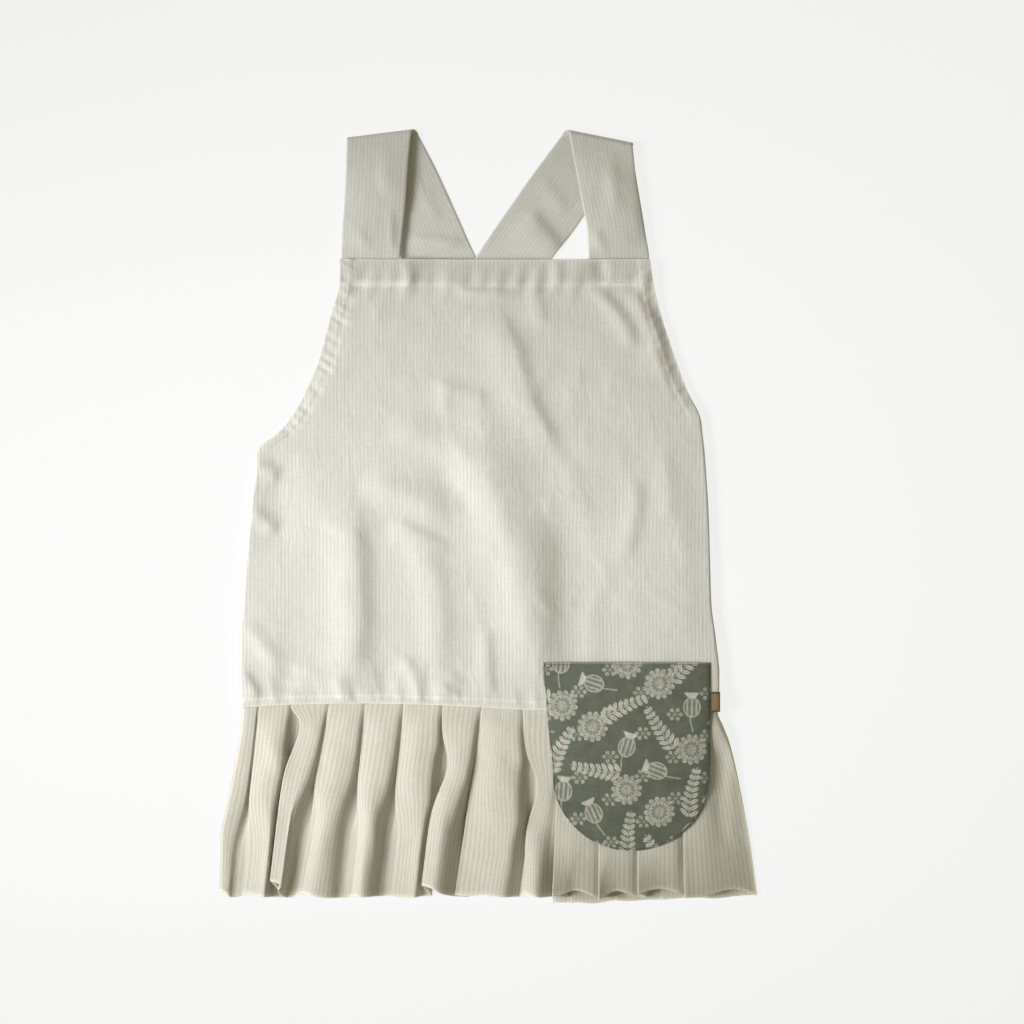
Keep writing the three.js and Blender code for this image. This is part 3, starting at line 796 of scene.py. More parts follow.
OUTLINE_LEFT = Curve(
    (
        (296, -170), (268, -171), (232, -181), (180, -195), (145, -210), (111, -229), (94, -244), (76, -266),
        (50, -268), (0, -274), (-100, -282), (-140, -285), (-182, -285), (-215, -285), (-234, -286),
        (-250, -288), (-303, -297), (-372, -309), (-432, -310),
    )
)
OUTLINE_RIGHT = Curve(
    (
        (296, 186), (268, 190), (232, 199), (180, 216), (145, 229), (111, 245), (94, 247), (76, 249),
        (50, 251), (0, 254), (-100, 257), (-140, 262), (-182, 266), (-215, 266), (-234, 272),
        (-250, 278), (-303, 290), (-372, 302), (-432, 310),
    )
)
WING_EDGE_LEFT = Curve(((76, -85), (-215, -130), (-440, -164)))
WING_EDGE_RIGHT = Curve(((76, 31), (-215, 65), (-440, 68)))
SEAM_LINE = Curve(((-290, -220), (-216, -215.6), (-139, -214.5), (-49, -216.8), (60, -222), (270, -223)))
PANEL_HEIGHT = Curve(
    ((296, 9.5), (200, 10), (76, 10.5), (-60, 11), (-140, 12.2), (-175, 13), (-200, 14.1), (-240, 14.1))
)


# Panel


@dataclass
class Panel:
    """Bib, skirt and back wings in one piece of cloth, folded round at both sides.

    The front is a height over the floor for each place, with the folds that the cloth lies in. Below the
    armholes its sides roll under, a little flattened, to the wings, which lie on the floor.
    """

    left_fold_top: float = 76.0
    right_fold_top: float = 111.0
    wing_top: float = 76.0
    fold_start: float = 40.0
    roll_power: float = 5.0  # 2 would roll the side in a half circle
    edge_droop: float = 4.0
    droop_reach: float = 24.0
    unevenness: Unevenness = Unevenness(0.35, 11, 60.0)
    top_sag: float = 3.5
    top_sag_length: float = 40.0
    strap_gap: tuple[float, float] = (-100.0, 114.0)
    strap_gap_fade: float = 50.0
    hem_line: float = 267.0
    hem_step: float = 1.5
    hem_groove: float = 0.5
    hem_pucker: Unevenness = Unevenness(2.0, 23, 24.0)
    hem_pucker_lean: float = 0.35
    armhole_hem: float = 13.0
    armhole_step: float = 0.9
    armhole_pucker: float = 1.5
    gather_height: float = 1.6
    gathers: Unevenness = Unevenness(0.5, 31, 17.0)
    gathers_end: float = 66.0  # the pocket's left side
    seam_bend: float = 45.0  # the rows above the seam that follow its line
    band: float = 8.0
    band_step: float = 1.2
    band_rub: float = 7.2
    edge_wear: float = 0.6
    seam_wear: float = 0.7
    # varies the painted highlight along the bib's hem line
    hem_line_highlight_wave: Unevenness = Unevenness(0.3, 29, 22.0)
    bib_stitches: float = 2.2
    bib_stitch_sway: Unevenness = Unevenness(0.5, 51, 90.0)
    seam_stitches: tuple[float, float] = (1.6, 7.0)
    stitch_inset: float = 3.0
    armhole_stitch_sunk: float = 0.3
    row_counts: tuple[int, int, int] = (72, 15, 112)
    folds: tuple[Fold, ...] = (
        Fold(((-22, 260), (6, 241), (20, 214), (31, 185), (45, 140), (62, 100), (80, 56)), 4.2, 30, 13),
        Fold(
            ((-3, 160), (-2, 80), (4, 40), (16, 6), (28, -27), (42, -73), (50, -119), (56, -165), (58, -214)),
            7.6, 31, 40,
        ),
        Fold(((92, 34), (90, -20), (90, -80), (90, -140), (88, -214)), -4.7, 24, 60),
        Fold(
            ((-170, 42), (-158, 0), (-155, -40), (-153, -86), (-152, -126), (-157, -170), (-163, -212)),
            6.6, 28, 18,
        ),
        Fold(((130, -50), (122, -100), (119, -140), (120, -200)), 1.5, 15, 13),
        Fold(((200, 110), (214, 40), (224, -40), (229, -160)), 1.2, 24, 16),
        Fold(((-95, 5), (-72, -50), (-58, -100), (-56, -195)), 3.2, 20, 17),
        Fold(((113, 272), (140, 244), (157, 220), (168, 188)), 3.0, 12, 11),
        Fold(((150, 274), (178, 238), (193, 203), (203, 150)), 2.8, 12, 11),
        Fold(((53, 275), (56, 250), (60, 215)), 1.8, 10, 10),
        Fold(((-236, 84), (-240, 20), (-244, -50)), -3.2, 26, 24),
        Fold(((-3, -120), (-1, -160), (2, -214)), 2.2, 10, 7),
        Fold(((164, 58), (170, 20), (156, -56)), 2.2, 14, 9),
        Fold(((201, 84), (206, 40), (208, -10)), 1.4, 12, 9),
        Fold(((86, 78), (100, 40), (118, -16)), 1.2, 16, 11),
    )
    wrinkles: tuple[Wrinkle, ...] = (
        Wrinkle((-58, 148), (2, 132), 1.8, 9, 14, 3),
        Wrinkle((-112, 100), (-8, 64), 3.0, 20, 17, 4),
        Wrinkle((-140, 42), (-48, 2), 3.6, 18, 17, 4),
        Wrinkle((-112, -8), (-44, -40), 2.4, 8, 16, 2),
        Wrinkle((-64, 58), (-14, 2), -1.8, 14, 14),
        Wrinkle((-284, -120), (-238, -178), 2.8, 13, 10, 2),
        Wrinkle((-255, -190), (-205, -187), 0.8, 2.6, 2.6),
        Wrinkle((-270, 62), (-240, 46), 3.0, 9, 9),
        Wrinkle((-274, 6), (-242, -16), 3.0, 10, 10),
        Wrinkle((-100, -160), (-78, -210), 2.4, 9, 8, 4),
        Wrinkle((-38, 262), (28, 258), 3.0, 6, 8, -3),
        Wrinkle((-60, -192), (-30, -208), 1.6, 6, 6),
        Wrinkle((-284, -178), (-262, -208), 3.0, 6, 12),
        Wrinkle((-176, -182), (-168, -214), 2.4, 12, 8),
        Wrinkle((-224, -172), (-232, -202), -2.2, 14, 14),
        Wrinkle((-120, -172), (-116, -202), -2.0, 12, 12),
        Wrinkle((-36, -180), (-58, -212), 2.2, 10, 14),
        Wrinkle((126, 296), (136, 268), -2.4, 8, 9),
        Wrinkle((78, 296), (82, 266), 1.8, 9, 7),
        Wrinkle((-96, 294), (-90, 268), 1.4, 8, 6),
        Wrinkle((62, 10), (104, 20), 1.0, 10, 10, 3),
        *scattered_wrinkles(5, 40, (-250, 235, -190, 250), 0.7),
        *scattered_wrinkles(6, 60, (-262, 245, -196, 262), 0.45),
    )

    def fold_radius(self, y: Array) -> Array:
        """Radius of the side fold: half the height between the front and the wing."""
        return (PANEL_HEIGHT(y) - BACK_HEIGHT) / 2

    def height(self, x: Array, y: Array) -> Array:
        """The front's form: base height, folds and creases, less the sag of the top edge between the straps."""
        total = PANEL_HEIGHT(y) + self.unevenness.relief(x, y)
        for crease in (*self.folds, *self.wrinkles):
            total = total + crease.relief(x, y)
        between = within(x, self.strap_gap, self.strap_gap_fade)
        return total - self.top_sag * between * smoothstep(y, BIB_TOP - self.top_sag_length, BIB_TOP)

    def top_hem(self, x: Array, y: Array) -> Array:
        """The bib's turned hem: a small step up above its stitches, puckered by them."""
        step = self.hem_step * smoothstep(y, self.hem_line - 3.0, self.hem_line)
        groove = self.hem_groove * bell(y - self.hem_line - 3.0, 1.6)
        lean = x - self.hem_pucker_lean * (y - self.hem_line)
        pucker = self.hem_pucker.relief(lean, y * 0.15) * bell(y - self.hem_line - 4.0, 15.0)
        return step - groove + pucker

    def seam_gathers(self, x: Array, y: Array) -> Array:
        """Small upright ripples that the seam draws into the skirt above the pleats, beside the pocket."""
        ripples = np.clip(0.5 + self.gathers.relief(x + 0.2 * y, y * 0.1), 0.0, 1.2)
        above = y - SEAM_LINE(x)
        near = bell(above, 24.0) * smoothstep(above, -3.0, 9.0)
        return self.gather_height * ripples * near * smoothstep(self.gathers_end - x, 0.0, 14.0)

    def in_band(self, x: Array, y: Array, softness: float) -> Array:
        """1 in the narrow band along the seam where the cloth lies double under the stitches, 0 above it."""
        return smoothstep(SEAM_LINE(x) + self.band - y, 0.0, softness)

    def edge_drop(self, y: Array, inward: Array, fold_top: float) -> Array:
        """How far the cloth lies below the front's height near the outline.

        Above the fold's top the free armhole edge droops; below it the cloth rolls over, a little flattened.
        """
        radius = self.fold_radius(y)
        folded = smoothstep(fold_top + self.fold_start - y, 0, self.fold_start)
        across = np.clip(1.0 - inward / radius, 0.0, 1.0)
        rolled = radius * (1.0 - (1.0 - across**self.roll_power) ** (1.0 / self.roll_power))
        free = smoothstep(BIB_TOP - y, STRAP_TUCK, STRAP_TUCK + self.fold_start)
        drooped = self.edge_droop * free * smoothstep(self.droop_reach - inward, 0, self.droop_reach)
        return lerp(drooped, rolled, folded)

    def armhole(self, y: Array, inward: Array, fold_top: float, seed: int) -> Array:
        """The armhole's narrow turned hem: a low step, puckered across by its stitches."""
        there = smoothstep(y, fold_top - 6.0, fold_top + 14.0)
        step = self.armhole_step * smoothstep(self.armhole_hem + 2.0 - inward, 0.0, 3.0)
        pucker = Unevenness(self.armhole_pucker, seed, 12.0).relief(y + 0.5 * inward, inward * 0.1)
        return there * (step + pucker * bell(inward - self.armhole_hem * 0.7, self.armhole_hem * 0.8))

    def surface(self, x: Array, y: Array) -> Array:
        """Middle of the front's cloth over a place, with the sides' roll and droop."""
        row = np.maximum(y, SEAM)
        from_left, from_right = x - OUTLINE_LEFT(row), OUTLINE_RIGHT(row) - x
        left, right = (
            self.armhole(y, inward, fold_top, seed) - self.edge_drop(y, inward, fold_top)
            for inward, fold_top, seed in (
                (from_left, self.left_fold_top, 41),
                (from_right, self.right_fold_top, 43),
            )
        )
        band = self.band_step * self.in_band(x, y, 1.6)
        seams = self.top_hem(x, y) + self.seam_gathers(x, y) + band
        return self.height(x, y) + seams + np.where(from_left < from_right, left, right)

    def rows(self) -> Array:
        """The grid's rows, from the bib's top to the seam; both fold tops are among them."""
        stops = (BIB_TOP, self.right_fold_top, self.left_fold_top, SEAM)
        runs = [np.linspace(*ends) for ends in zip(stops, stops[1:], self.row_counts)]
        return np.concatenate([runs[0][:-1], runs[1][:-1], runs[2]])

    def bent(self, x: Array, y: Array) -> Array:
        """Rows moved to the seam's line at the seam, and less and less above it."""
        return y + smoothstep(SEAM + self.seam_bend - y, 0.0, self.seam_bend) * (SEAM_LINE(x) - SEAM)

    def front(self, columns: int = 190) -> Sheet:
        """The front: evenly spaced columns, with a few closer ones on both side folds."""
        rows = self.rows()
        radius = self.fold_radius(rows)
        turn = 1.0 - np.cos(np.radians(FOLD_TURNS[:-1, None]))
        left, right = OUTLINE_LEFT(rows), OUTLINE_RIGHT(rows)
        middle = lerp(left + radius, right - radius, np.linspace(0.0, 1.0, columns)[:, None])
        x = np.concatenate([left + turn * radius, middle, right - turn[::-1] * radius])
        y = self.bent(x, np.broadcast_to(rows, x.shape))
        points = np.stack([x, y, self.surface(x, y)], axis=-1)
        width = np.hypot(np.diff(x, axis=0), np.diff(points[..., 2], axis=0))
        along = np.concatenate([np.zeros((1, len(rows))), np.cumsum(width, axis=0)])
        centre = len(x) // 2
        across = along - along[centre] + x[centre]
        free = np.where(rows > self.right_fold_top, np.minimum(x - left, right - x), np.inf)
        return Sheet(points, np.stack([across, y], axis=-1), self.marks(x, y, free))

    def marks(self, x: Array, y: Array, free: Array) -> dict[str, Array]:
        """Rubbed cloth, painted highlight and painted shade on the front.

        Wear is a bell across the free edges and across both lines of the seam. A bell across the bib's hem line,
        strongest over the strap ends inside it, is painted highlight for the ridge there catching the light. The
        cloth lies double in the hems and in the band along the seam, where the striped cotton paints shade.

        Args:
            x: Places across.
            y: Places along.
            free: Distance from the armhole's free edge.

        Returns:
            Both values at each place, from 0 to 1.
        """
        above = y - SEAM_LINE(x)
        wear = self.edge_wear * bell(np.minimum(free, BIB_TOP - y), 1.6) + self.seam_wear * bell(above, 1.8)
        wear = wear + self.seam_wear * bell(above - self.band_rub, 1.4)
        # Painted highlight: a pale line along the bib's hem line, strongest over the strap ends inside the hem, for
        # the ridge there catching the light.
        over_strap_ends = bell(x + 125.0, 40.0) + 0.6 * bell(x - 150.0, 36.0)
        hem_line_highlight = np.clip(over_strap_ends + 0.15, 0.0, 1.0) * (0.7 + self.hem_line_highlight_wave.relief(x, y * 0.2))
        rubbed = hem_line_highlight * bell(y - self.hem_line - 1.0, 2.8)
        # Where the cloth lies double; the striped cotton darkens these places as painted shade.
        top_hem = smoothstep(y, self.hem_line, self.hem_line + 2.0)
        side_hem = 0.5 * smoothstep(self.armhole_hem - free, 0.0, 2.0)
        doubled = np.maximum.reduce([top_hem, side_hem, 0.7 * self.in_band(x, y, 2.0)])
        return {WEAR_AND_HIGHLIGHT: np.clip(wear + rubbed, 0.0, 1.0), DOUBLED_SHADE: doubled}

    def wing(self, side: Side, columns: int = 26) -> Sheet:
        """One wing, from its side fold to its free edge: an arc of a quarter turn, then flat on the floor."""
        rows = self.rows()
        left = side is Side.LEFT
        outline, edge = (OUTLINE_LEFT, WING_EDGE_LEFT) if left else (OUTLINE_RIGHT, WING_EDGE_RIGHT)
        fold_top = self.left_fold_top if left else self.right_fold_top
        turns = FOLD_TURNS[1:]
        along = np.concatenate([np.zeros(len(turns)), np.linspace(0.0, 1.0, columns)[1:]])[:, None]
        turn = np.radians(np.concatenate([turns, np.full(columns - 1, turns[-1])]))[:, None]
        down = np.clip((fold_top - rows) / (fold_top - SEAM), 0.0, 1.0)
        slack = (self.wing_top - fold_top) * smoothstep(along, 0.0, 0.3) * (1.0 - down)
        radius = self.fold_radius(rows)
        fold_x = outline(rows) + side.value * radius * (1.0 - np.cos(turn))
        x = lerp(fold_x, edge(rows), along)
        y = self.bent(x, rows + slack)
        z = BACK_HEIGHT + radius * (1.0 - np.sin(turn))
        points = np.stack([x, y, z], axis=-1)
        across = outline(rows) - side.value * (radius * turn + np.abs(x - fold_x))
        free = np.minimum(np.abs(x - edge(rows)), np.abs(rows - fold_top))
        wear = self.edge_wear * bell(free, 1.6)
        return Sheet(points, np.stack([across, y], axis=-1), {WEAR_AND_HIGHLIGHT: wear, DOUBLED_SHADE: np.zeros_like(wear)})

    def build(self, cotton: Material, thread: Material) -> list[Object]:
        """The cloth and its stitches.

        Args:
            cotton: The striped cotton.
            thread: The sewing thread.

        Returns:
            The two pieces.
        """
        left, front, right = self.wing(Side.LEFT), self.front(), self.wing(Side.RIGHT)
        points = np.concatenate([left.points[::-1], front.points, right.points])
        flat = np.concatenate([left.flat[::-1], front.flat, right.flat])
        marks = {
            name: np.concatenate([left.marks[name][::-1], front.marks[name], right.marks[name]])
            for name in (WEAR_AND_HIGHLIGHT, DOUBLED_SHADE)
        }
        rows = self.rows()[:-1] - 0.01
        first, last = len(left.points), len(left.points) + len(front.points) - 1
        cells = np.ones((len(flat) - 1, len(rows)), bool)
        cells[:first] = rows < self.left_fold_top
        cells[last:] = rows < self.right_fold_top
        cloth = cloth_wall("panel_cloth", Sheet(points, flat, marks), CLOTH, cells)
        dress(cloth, cotton, "panel")
        stitches = Stitching().build("panel_stitches", self.seams())
        dress(stitches, thread, "panel")
        return [cloth, stitches]

    def seam(self, x: Array, y: Array, sunk: float = 0.0) -> SeamPath:
        """A line of stitches over places on the front, lying on the cloth's outer side.

        Args:
            x: Places across.
            y: Places along.
            sunk: How far the stitches are drawn into the cloth.

        Returns:
            The line, with the cloth's direction from its slopes.
        """
        step = 0.5
        z = self.surface(x, y)
        slope_x = (self.surface(x + step, y) - self.surface(x - step, y)) / (2 * step)
        slope_y = (self.surface(x, y + step) - self.surface(x, y - step)) / (2 * step)
        up = unit(np.stack([-slope_x, -slope_y, np.ones_like(z)], axis=-1))
        return SeamPath(np.stack([x, y, z], axis=-1) + up * (CLOTH / 2 - sunk), up)

    def seams(self) -> list[SeamPath]:
        """Stitch lines: the bib's hem, two rows along the ruffle's seam and both armholes."""
        across, inset = np.linspace(0.0, 1.0, 900), self.stitch_inset
        bib_y = self.hem_line + self.bib_stitches + self.bib_stitch_sway.relief(across * 350.0, across * 0.0)
        paths = [self.seam(lerp(OUTLINE_LEFT(bib_y) + inset, OUTLINE_RIGHT(bib_y) - inset, across), bib_y)]
        skirt_x = lerp(OUTLINE_LEFT(SEAM) + inset, OUTLINE_RIGHT(SEAM) - inset, across)
        for above in self.seam_stitches:
            paths.append(self.seam(skirt_x, SEAM_LINE(skirt_x) + above))
        for side, outline, fold_top in (
            (Side.LEFT, OUTLINE_LEFT, self.left_fold_top),
            (Side.RIGHT, OUTLINE_RIGHT, self.right_fold_top),
        ):
            y = lerp(BIB_TOP - 4.0, fold_top + inset, across)
            x = outline(y) + side.value * (self.armhole_hem - 1.5)
            paths.append(self.seam(x, y, self.armhole_stitch_sunk))
        return paths


# Ruffle


@dataclass(frozen=True)
class Pleat:
    """A front pleat by the edge that shows.

    seam and hem are its places across at both ends, hem_y where its corner ends, height how far it stands
    there, pop how far it has sprung open at the share pop_at, and free_from the share where it is let go.
    The flute beside it has its crest at the share crest_at of its width near the hem. From the share
    undone_from on the fold opens out into a soft wave. Its edge stands at the share edge of the flute's
    height, and with lean the flute falls away from its edge instead of rising to a crest.
    """

    seam: float
    hem: float
    hem_y: float
    height: float
    pop: float = 0.0
    pop_at: float = 0.3
    free_from: float = 0.05
    crest_at: float = 0.45
    undone_from: float = 2.0
    edge: float = 0.25
    lean: float = 0.0

    def held(self) -> bool:
        """Whether the pleat is held down well below the seam, as under the pocket."""
        return self.free_from > 0.3


# A control point at every share: x, height, hem line, and how tight a fold is that ends there.
Control = tuple[Array, Array, Array | float, Array | None]


@dataclass
class Ruffle:
    """One pleated strip round the panel's lower edge, from wing edge to wing edge.

    At each share of the way from seam to hem its section is a row of control points, and a cubic B-spline
    through the row gives the cloth. Beside each fold an extra control point keeps the fold tight.
    """

    pleat_cloth: float = 80.0
    front_height: float = 13.5
    hem_height: float = 12.0
    centre_sag: float = 7.0
    pop_depth: float = 3.0
    nose_drop: float = 2.0
    bulge: float = 2.2
    side_sag: float = 9.0
    side_sag_start: float = 246.0
    side_sag_width: float = 50.0
    wing_gap: tuple[float, float] = (-150.0, 70.0)
    wing_gap_fade: float = 50.0
    wave_depth: float = 4.6
    wave_tightness: float = 5.0
    valley: float = 5.5
    wing_level: float = 5.0
    floor_level: float = 1.4
    pleat_tuck: float = 1.6
    last_wave: float = 13.0
    flute_arch: float = 9.0
    wing_overlap: float = 16.0
    lap_end: float = 0.045
    lap_clear: float = 0.12
    lap_drop: float = 0.9
    valley_hem: float = -438.0
    left_hem: tuple[float, float] = (-430.0, -436.0)
    right_hem: tuple[float, float] = (-437.0, -446.0)
    unevenness: Unevenness = Unevenness(0.5, 61, 38.0)
    hem_sway: Unevenness = Unevenness(1.3, 63, 45.0)
    hem_wear: float = 0.75
    hem_stitches: float = 4.5
    row_count: int = 52
    row_crowding: float = 0.045
    samples: int = 4
    tightness: float = 1.0
    front_pleats: tuple[Pleat, ...] = (
        Pleat(-262, -286, -430, 8, crest_at=0.74, undone_from=0.5),
        Pleat(-225, -250, -418, 9, 13, 0.17, crest_at=0.4, edge=0.8),
        Pleat(-180, -224, -430, 6, crest_at=0.42, undone_from=0.38),
        Pleat(-139, -164, -434, 6, crest_at=0.42, undone_from=0.4),
        Pleat(-95, -120, -437, 6, crest_at=0.75, undone_from=0.42),
        Pleat(-50, -76, -424, 14, 13, 0.36, crest_at=0.4, edge=0.8),
        Pleat(-5, -38, -436, 11, crest_at=0.72),
        Pleat(41, 43, -431, 12, 15, 0.44, 0.6, 0.4, edge=0.8),
        Pleat(85, 74, -435, 14, 0, 0.3, 0.72, 0.4, edge=1.0, lean=1.0),
        Pleat(129, 127, -437, 14, 0, 0.3, 0.72, 0.4, edge=1.0, lean=1.0),
        Pleat(173, 172, -431, 14, 0, 0.3, 0.74, 0.42, edge=1.0, lean=1.0),
        Pleat(221, 226, -437, 14, 0, 0.3, 0.62, edge=1.0, lean=1.0),
    )
    creases: tuple[Wrinkle, ...] = (
        Wrinkle((-258, -232), (-236, -300), 2.6, 16, 8),
        Wrinkle((-222, -232), (-196, -246), 1.8, 5, 6),
        Wrinkle((-18, -376), (34, -374), 1.0, 4, 5),
        Wrinkle((264, -250), (276, -384), -4.0, 12, 14),
        Wrinkle((-132, -330), (-126, -420), 1.6, 7, 7),
        *scattered_wrinkles(7, 26, (-290, 40, -425, -240), 0.8),
    )
    left_wing_pleats: Points = ((-160, -192), (-204, -232), (-248, -270))
    right_wing_pleats: Points = ((236, 268), (192, 216), (147, 164), (102, 112))

    def shares(self) -> Array:
        """Rows of the grid as shares from seam to hem, closer together near both."""
        even = np.linspace(0.0, 1.0, self.row_count)
        return even - self.row_crowding * np.sin(2.0 * math.pi * even)

    def depth(self) -> float:
        """Depth of the strip from its upper edge to its hem."""
        return SEAM + SEAM_LAP - HEM

    def tucked(self, share: Array) -> Array:
        """1 where the strip is under the panel's edge, 0 where it is clear of it."""
        return 1.0 - smoothstep(share, self.lap_end, self.lap_clear)

    def outer_height(self, x: Array, share: Array) -> Array:
        """Height of the front's outer layer; it sinks to the hem, most where no wing lies under it."""
        sunk = self.hem_height - self.centre_sag * self.centre(x)
        beside = np.clip((x - self.side_sag_start) / self.side_sag_width, 0.0, 1.0)
        slope = self.side_sag * beside * smoothstep(share, 0.1, 0.45)
        under_panel = self.lap_drop * self.tucked(share)
        return lerp(self.front_height, sunk, smoothstep(share, 0.3, 1.0)) - slope - under_panel

    def centre(self, x: Array) -> Array:
        """1 between the two wings, 0 over them."""
        return within(x, self.wing_gap, self.wing_gap_fade)

    def valley_depth(self, x: Array, share: Array, pleat: Pleat, opened: Array) -> Array:
        """How deep the cloth lies between two pleats: two layers, and more where it is free and has room."""
        below = lerp(self.wing_level, self.floor_level, self.centre(x))
        room = np.maximum(self.outer_height(x, share) - below - 2 * LAYER, 0.0)
        start = pleat.free_from - 0.14 if pleat.held() else 0.04
        grown = 0.4 * smoothstep(share, start, start + 0.1) + 0.6 * smoothstep(share, start + 0.12, start + 0.5)
        wanted = self.valley * grown + self.pop_depth * opened
        return 2 * LAYER + np.minimum(wanted, room)

    def front_section(self, share: Array, left: Array, right: Array) -> list[Control]:
        """The front's control points at every share, from left to right.

        A pleat is a flute: from its edge it rises to a crest, falls to where it is tucked under the next
        pleat, turns at an inner fold and comes back to that pleat's edge. The cloth hidden there is what
        remains of the pleat's length; where the pleat stands too high for that, the fold opens.

        Args:
            share: Shares from seam to hem.
            left: Where the front starts at each share.
            right: Where it ends.

        Returns:
            The control points, with the depth below the outer layer.
        """
        same = np.ones_like(share)
        edges, lines, pops, rises = [], [], [], []
        for pleat in self.front_pleats:
            let_go = smoothstep(share, pleat.free_from, 1.0 if pleat.held() else 0.75)
            lifted = 0.0 if pleat.held() else 0.18 * smoothstep(share, 0.05, 0.16)
            rises.append(pleat.height * np.maximum(let_go, lifted))
            reach = np.where(share < pleat.pop_at, 0.14, 0.17)
            pops.append(pleat.pop * bell(share - pleat.pop_at, reach))
            lines.append(lerp(pleat.seam, pleat.hem, share))
            edges.append(lines[-1] + pops[-1] * (1.0 - self.tucked(share)))
        section = []
        loosened, valley_hem = smoothstep(share, 0.25, 0.8), self.valley_hem * same
        x, depth, hidden, hem_y = left, 0.0 * same, 0.0 * same, self.left_hem[0] * same
        crest, crest_at, lean, start_tight = 0.0 * same, 0.5, 0.0 * same, None
        for i, pleat in enumerate(self.front_pleats):
            edge, rise = edges[i], rises[i]
            spare = 18 - 24 * smoothstep(share, 0.2, 0.9)
            if i:
                spare = (self.pleat_cloth - (edge - edges[i - 1]) - rise) / 2
            overlap = np.clip(spare, -8.0, 20.0)
            opening = np.minimum(overlap, 0.0)
            opened = np.clip(pops[i] / 10.0, 0.0, 1.0)
            tuck = lerp(edge + opening - self.pleat_tuck, lines[i] + 1.5, opened)
            low = self.valley_depth(edge, share, pleat, opened)
            undone = smoothstep(share, pleat.undone_from, pleat.undone_from + 0.3)
            tight = lerp(self.tightness, self.wave_tightness, undone)
            let_down = smoothstep(share, pleat.free_from, pleat.free_from + 0.1)
            nose = rise * pleat.edge - self.nose_drop * let_down * (pleat.edge < 0.5)
            back = low - LAYER - 0.25 * np.maximum(nose, 0.0) * np.clip(-overlap / 5.0, 0.0, 1.0)
            wave = self.wave_depth * same
            tuck, fall_to = lerp(tuck, edge - 10.0, undone), lerp(low, wave * 0.75, undone)
            run = tuck - x
            early = lerp(lerp(crest, lerp(depth, crest, 1.3 - crest_at), loosened), 0.5 * depth, lean)
            top = lerp(crest, 0.2 * depth, lean)
            shoulder = lerp(lerp(crest, fall_to, 0.3 * loosened), crest * 0.8, opened)
            shoulder = lerp(shoulder, 0.1 * fall_to, lean)
            early_at = run * lerp(0.3, crest_at - 0.17, loosened)
            fall_at = lerp(lerp(0.96, 0.5 * (1.0 + crest_at), loosened), 0.92, np.maximum(opened, lean))
            fall_at = lerp(fall_at, 0.8, undone)
            arch = self.flute_arch * lean
            early_hem, top_hem, late_hem = (lerp(hem_y, valley_hem, part) for part in (0.2, 0.5, 0.8))
            inner = edge + np.maximum(overlap, 0.0) + 0.8 * opening
            end_hem = lerp(pleat.hem_y * same, valley_hem, 0.5 * undone)
            section += [
                (x, depth, hem_y, start_tight),
                (x + np.maximum(early_at, hidden + 0.3), early, early_hem + 0.4 * arch, None),
                (x + run * lerp(0.7, crest_at + 0.05, loosened), top, top_hem + arch, None),
                (x + run * fall_at, shoulder, late_hem + 0.4 * arch, None),
                (tuck, fall_to, valley_hem, None),
                (lerp(edge + overlap, edge - 5.0, undone), lerp(low, wave, undone), valley_hem, tight),
                (lerp(inner, edge, undone), lerp(back, wave, undone), valley_hem, tight),
                (
                    lerp(edge + 0.2 * opening, edge + 4.0, undone),
                    lerp(LAYER - nose, wave * 0.8, undone),
                    end_hem,
                    tight,
                ),
            ]
            hem_y = end_hem
            x, depth, start_tight = edge + 9.0 * undone, lerp(-nose, wave * 0.4, undone), tight
            hidden = np.maximum(overlap, 0.0) * (1.0 - undone)
            crest = -rise - self.bulge * smoothstep(share, pleat.free_from, pleat.free_from + 0.2)
            crest_at, lean = pleat.crest_at, pleat.lean * loosened
        run = right - x
        wave = self.last_wave * smoothstep(share, 0.55, 1.0)
        last_crest = lerp(crest * 0.4, 0.2 * depth, lean) - wave * 0.2
        section += [
            (x, depth, hem_y, start_tight),
            (x + run * 0.25, lerp(crest, 0.6 * depth, lean), hem_y, None),
            (x + run * 0.62, last_crest, self.right_hem[0] + wave, None),
            (right, 2.5 * smoothstep(share, 0.1, 0.3), self.right_hem[0] * same, None),
        ]
        return section

    def wing_section(
        self, share: Array, pleats: Points, start: Array, end: Array, hems: tuple[float, float]
    ) -> list[Control]:
        """A wing's control points: pleats pressed flat, from start to end, both running towards -X.

        Args:
            share: Shares from seam to hem.
            pleats: Each pleat's edge at the seam and at the hem.
            start: Where the wing starts at each share.
            end: Where it ends.
            hems: Hem line at both ends.

        Returns:
            The control points, with the height above the lowest layer.
        """
        flat, tight = 0.0 * share, self.tightness + 0.0 * share
        made, x = [], start
        for seam, hem in pleats:
            edge = lerp(seam, hem, share)
            made += [
                (x, flat, tight if made else None),
                (lerp(x, edge, 0.5), flat, None),
                (edge + self.pleat_tuck, flat + 2 * LAYER, None),
                (edge - self.wing_overlap, flat + 2 * LAYER, tight),
                (edge - self.wing_overlap, flat + LAYER, tight),
                (edge, flat + LAYER, tight),
            ]
            x = edge
        made += [(x, flat, tight), (end, flat, None)]
        return [(px, z, lerp(hems[0], hems[1], (px - start) / (end - start)), fold) for px, z, fold in made]

    def net(self) -> tuple[Array, list[Array | None]]:
        """Control points of the whole strip.

        Returns:
            Points (rows, controls, 3), and for each control how tight a fold is that ends there.
        """
        share = self.shares()
        y = lerp(SEAM, HEM, np.clip((share - self.lap_end) / (1.0 - self.lap_end), 0.0, 1.0))
        left = OUTLINE_LEFT(y) + LAYER * self.tucked(share)
        right = OUTLINE_RIGHT(y) - LAYER * self.tucked(share)
        back = BACK_HEIGHT + LAYER * self.tucked(share)
        left_radius = (self.outer_height(left, share) - back) / 2
        right_radius = (self.outer_height(right, share) - back) / 2

        def arc(x: Array, radius: Array, side: Side, hem_y: float, angles: tuple[int, ...]) -> list[Control]:
            """Control points round a side fold."""
            turns = [math.radians(angle) for angle in angles]
            return [
                (x + side.value * radius * (1 - math.cos(turn)), back + radius * (1 + math.sin(turn)), hem_y, None)
                for turn in turns
            ]

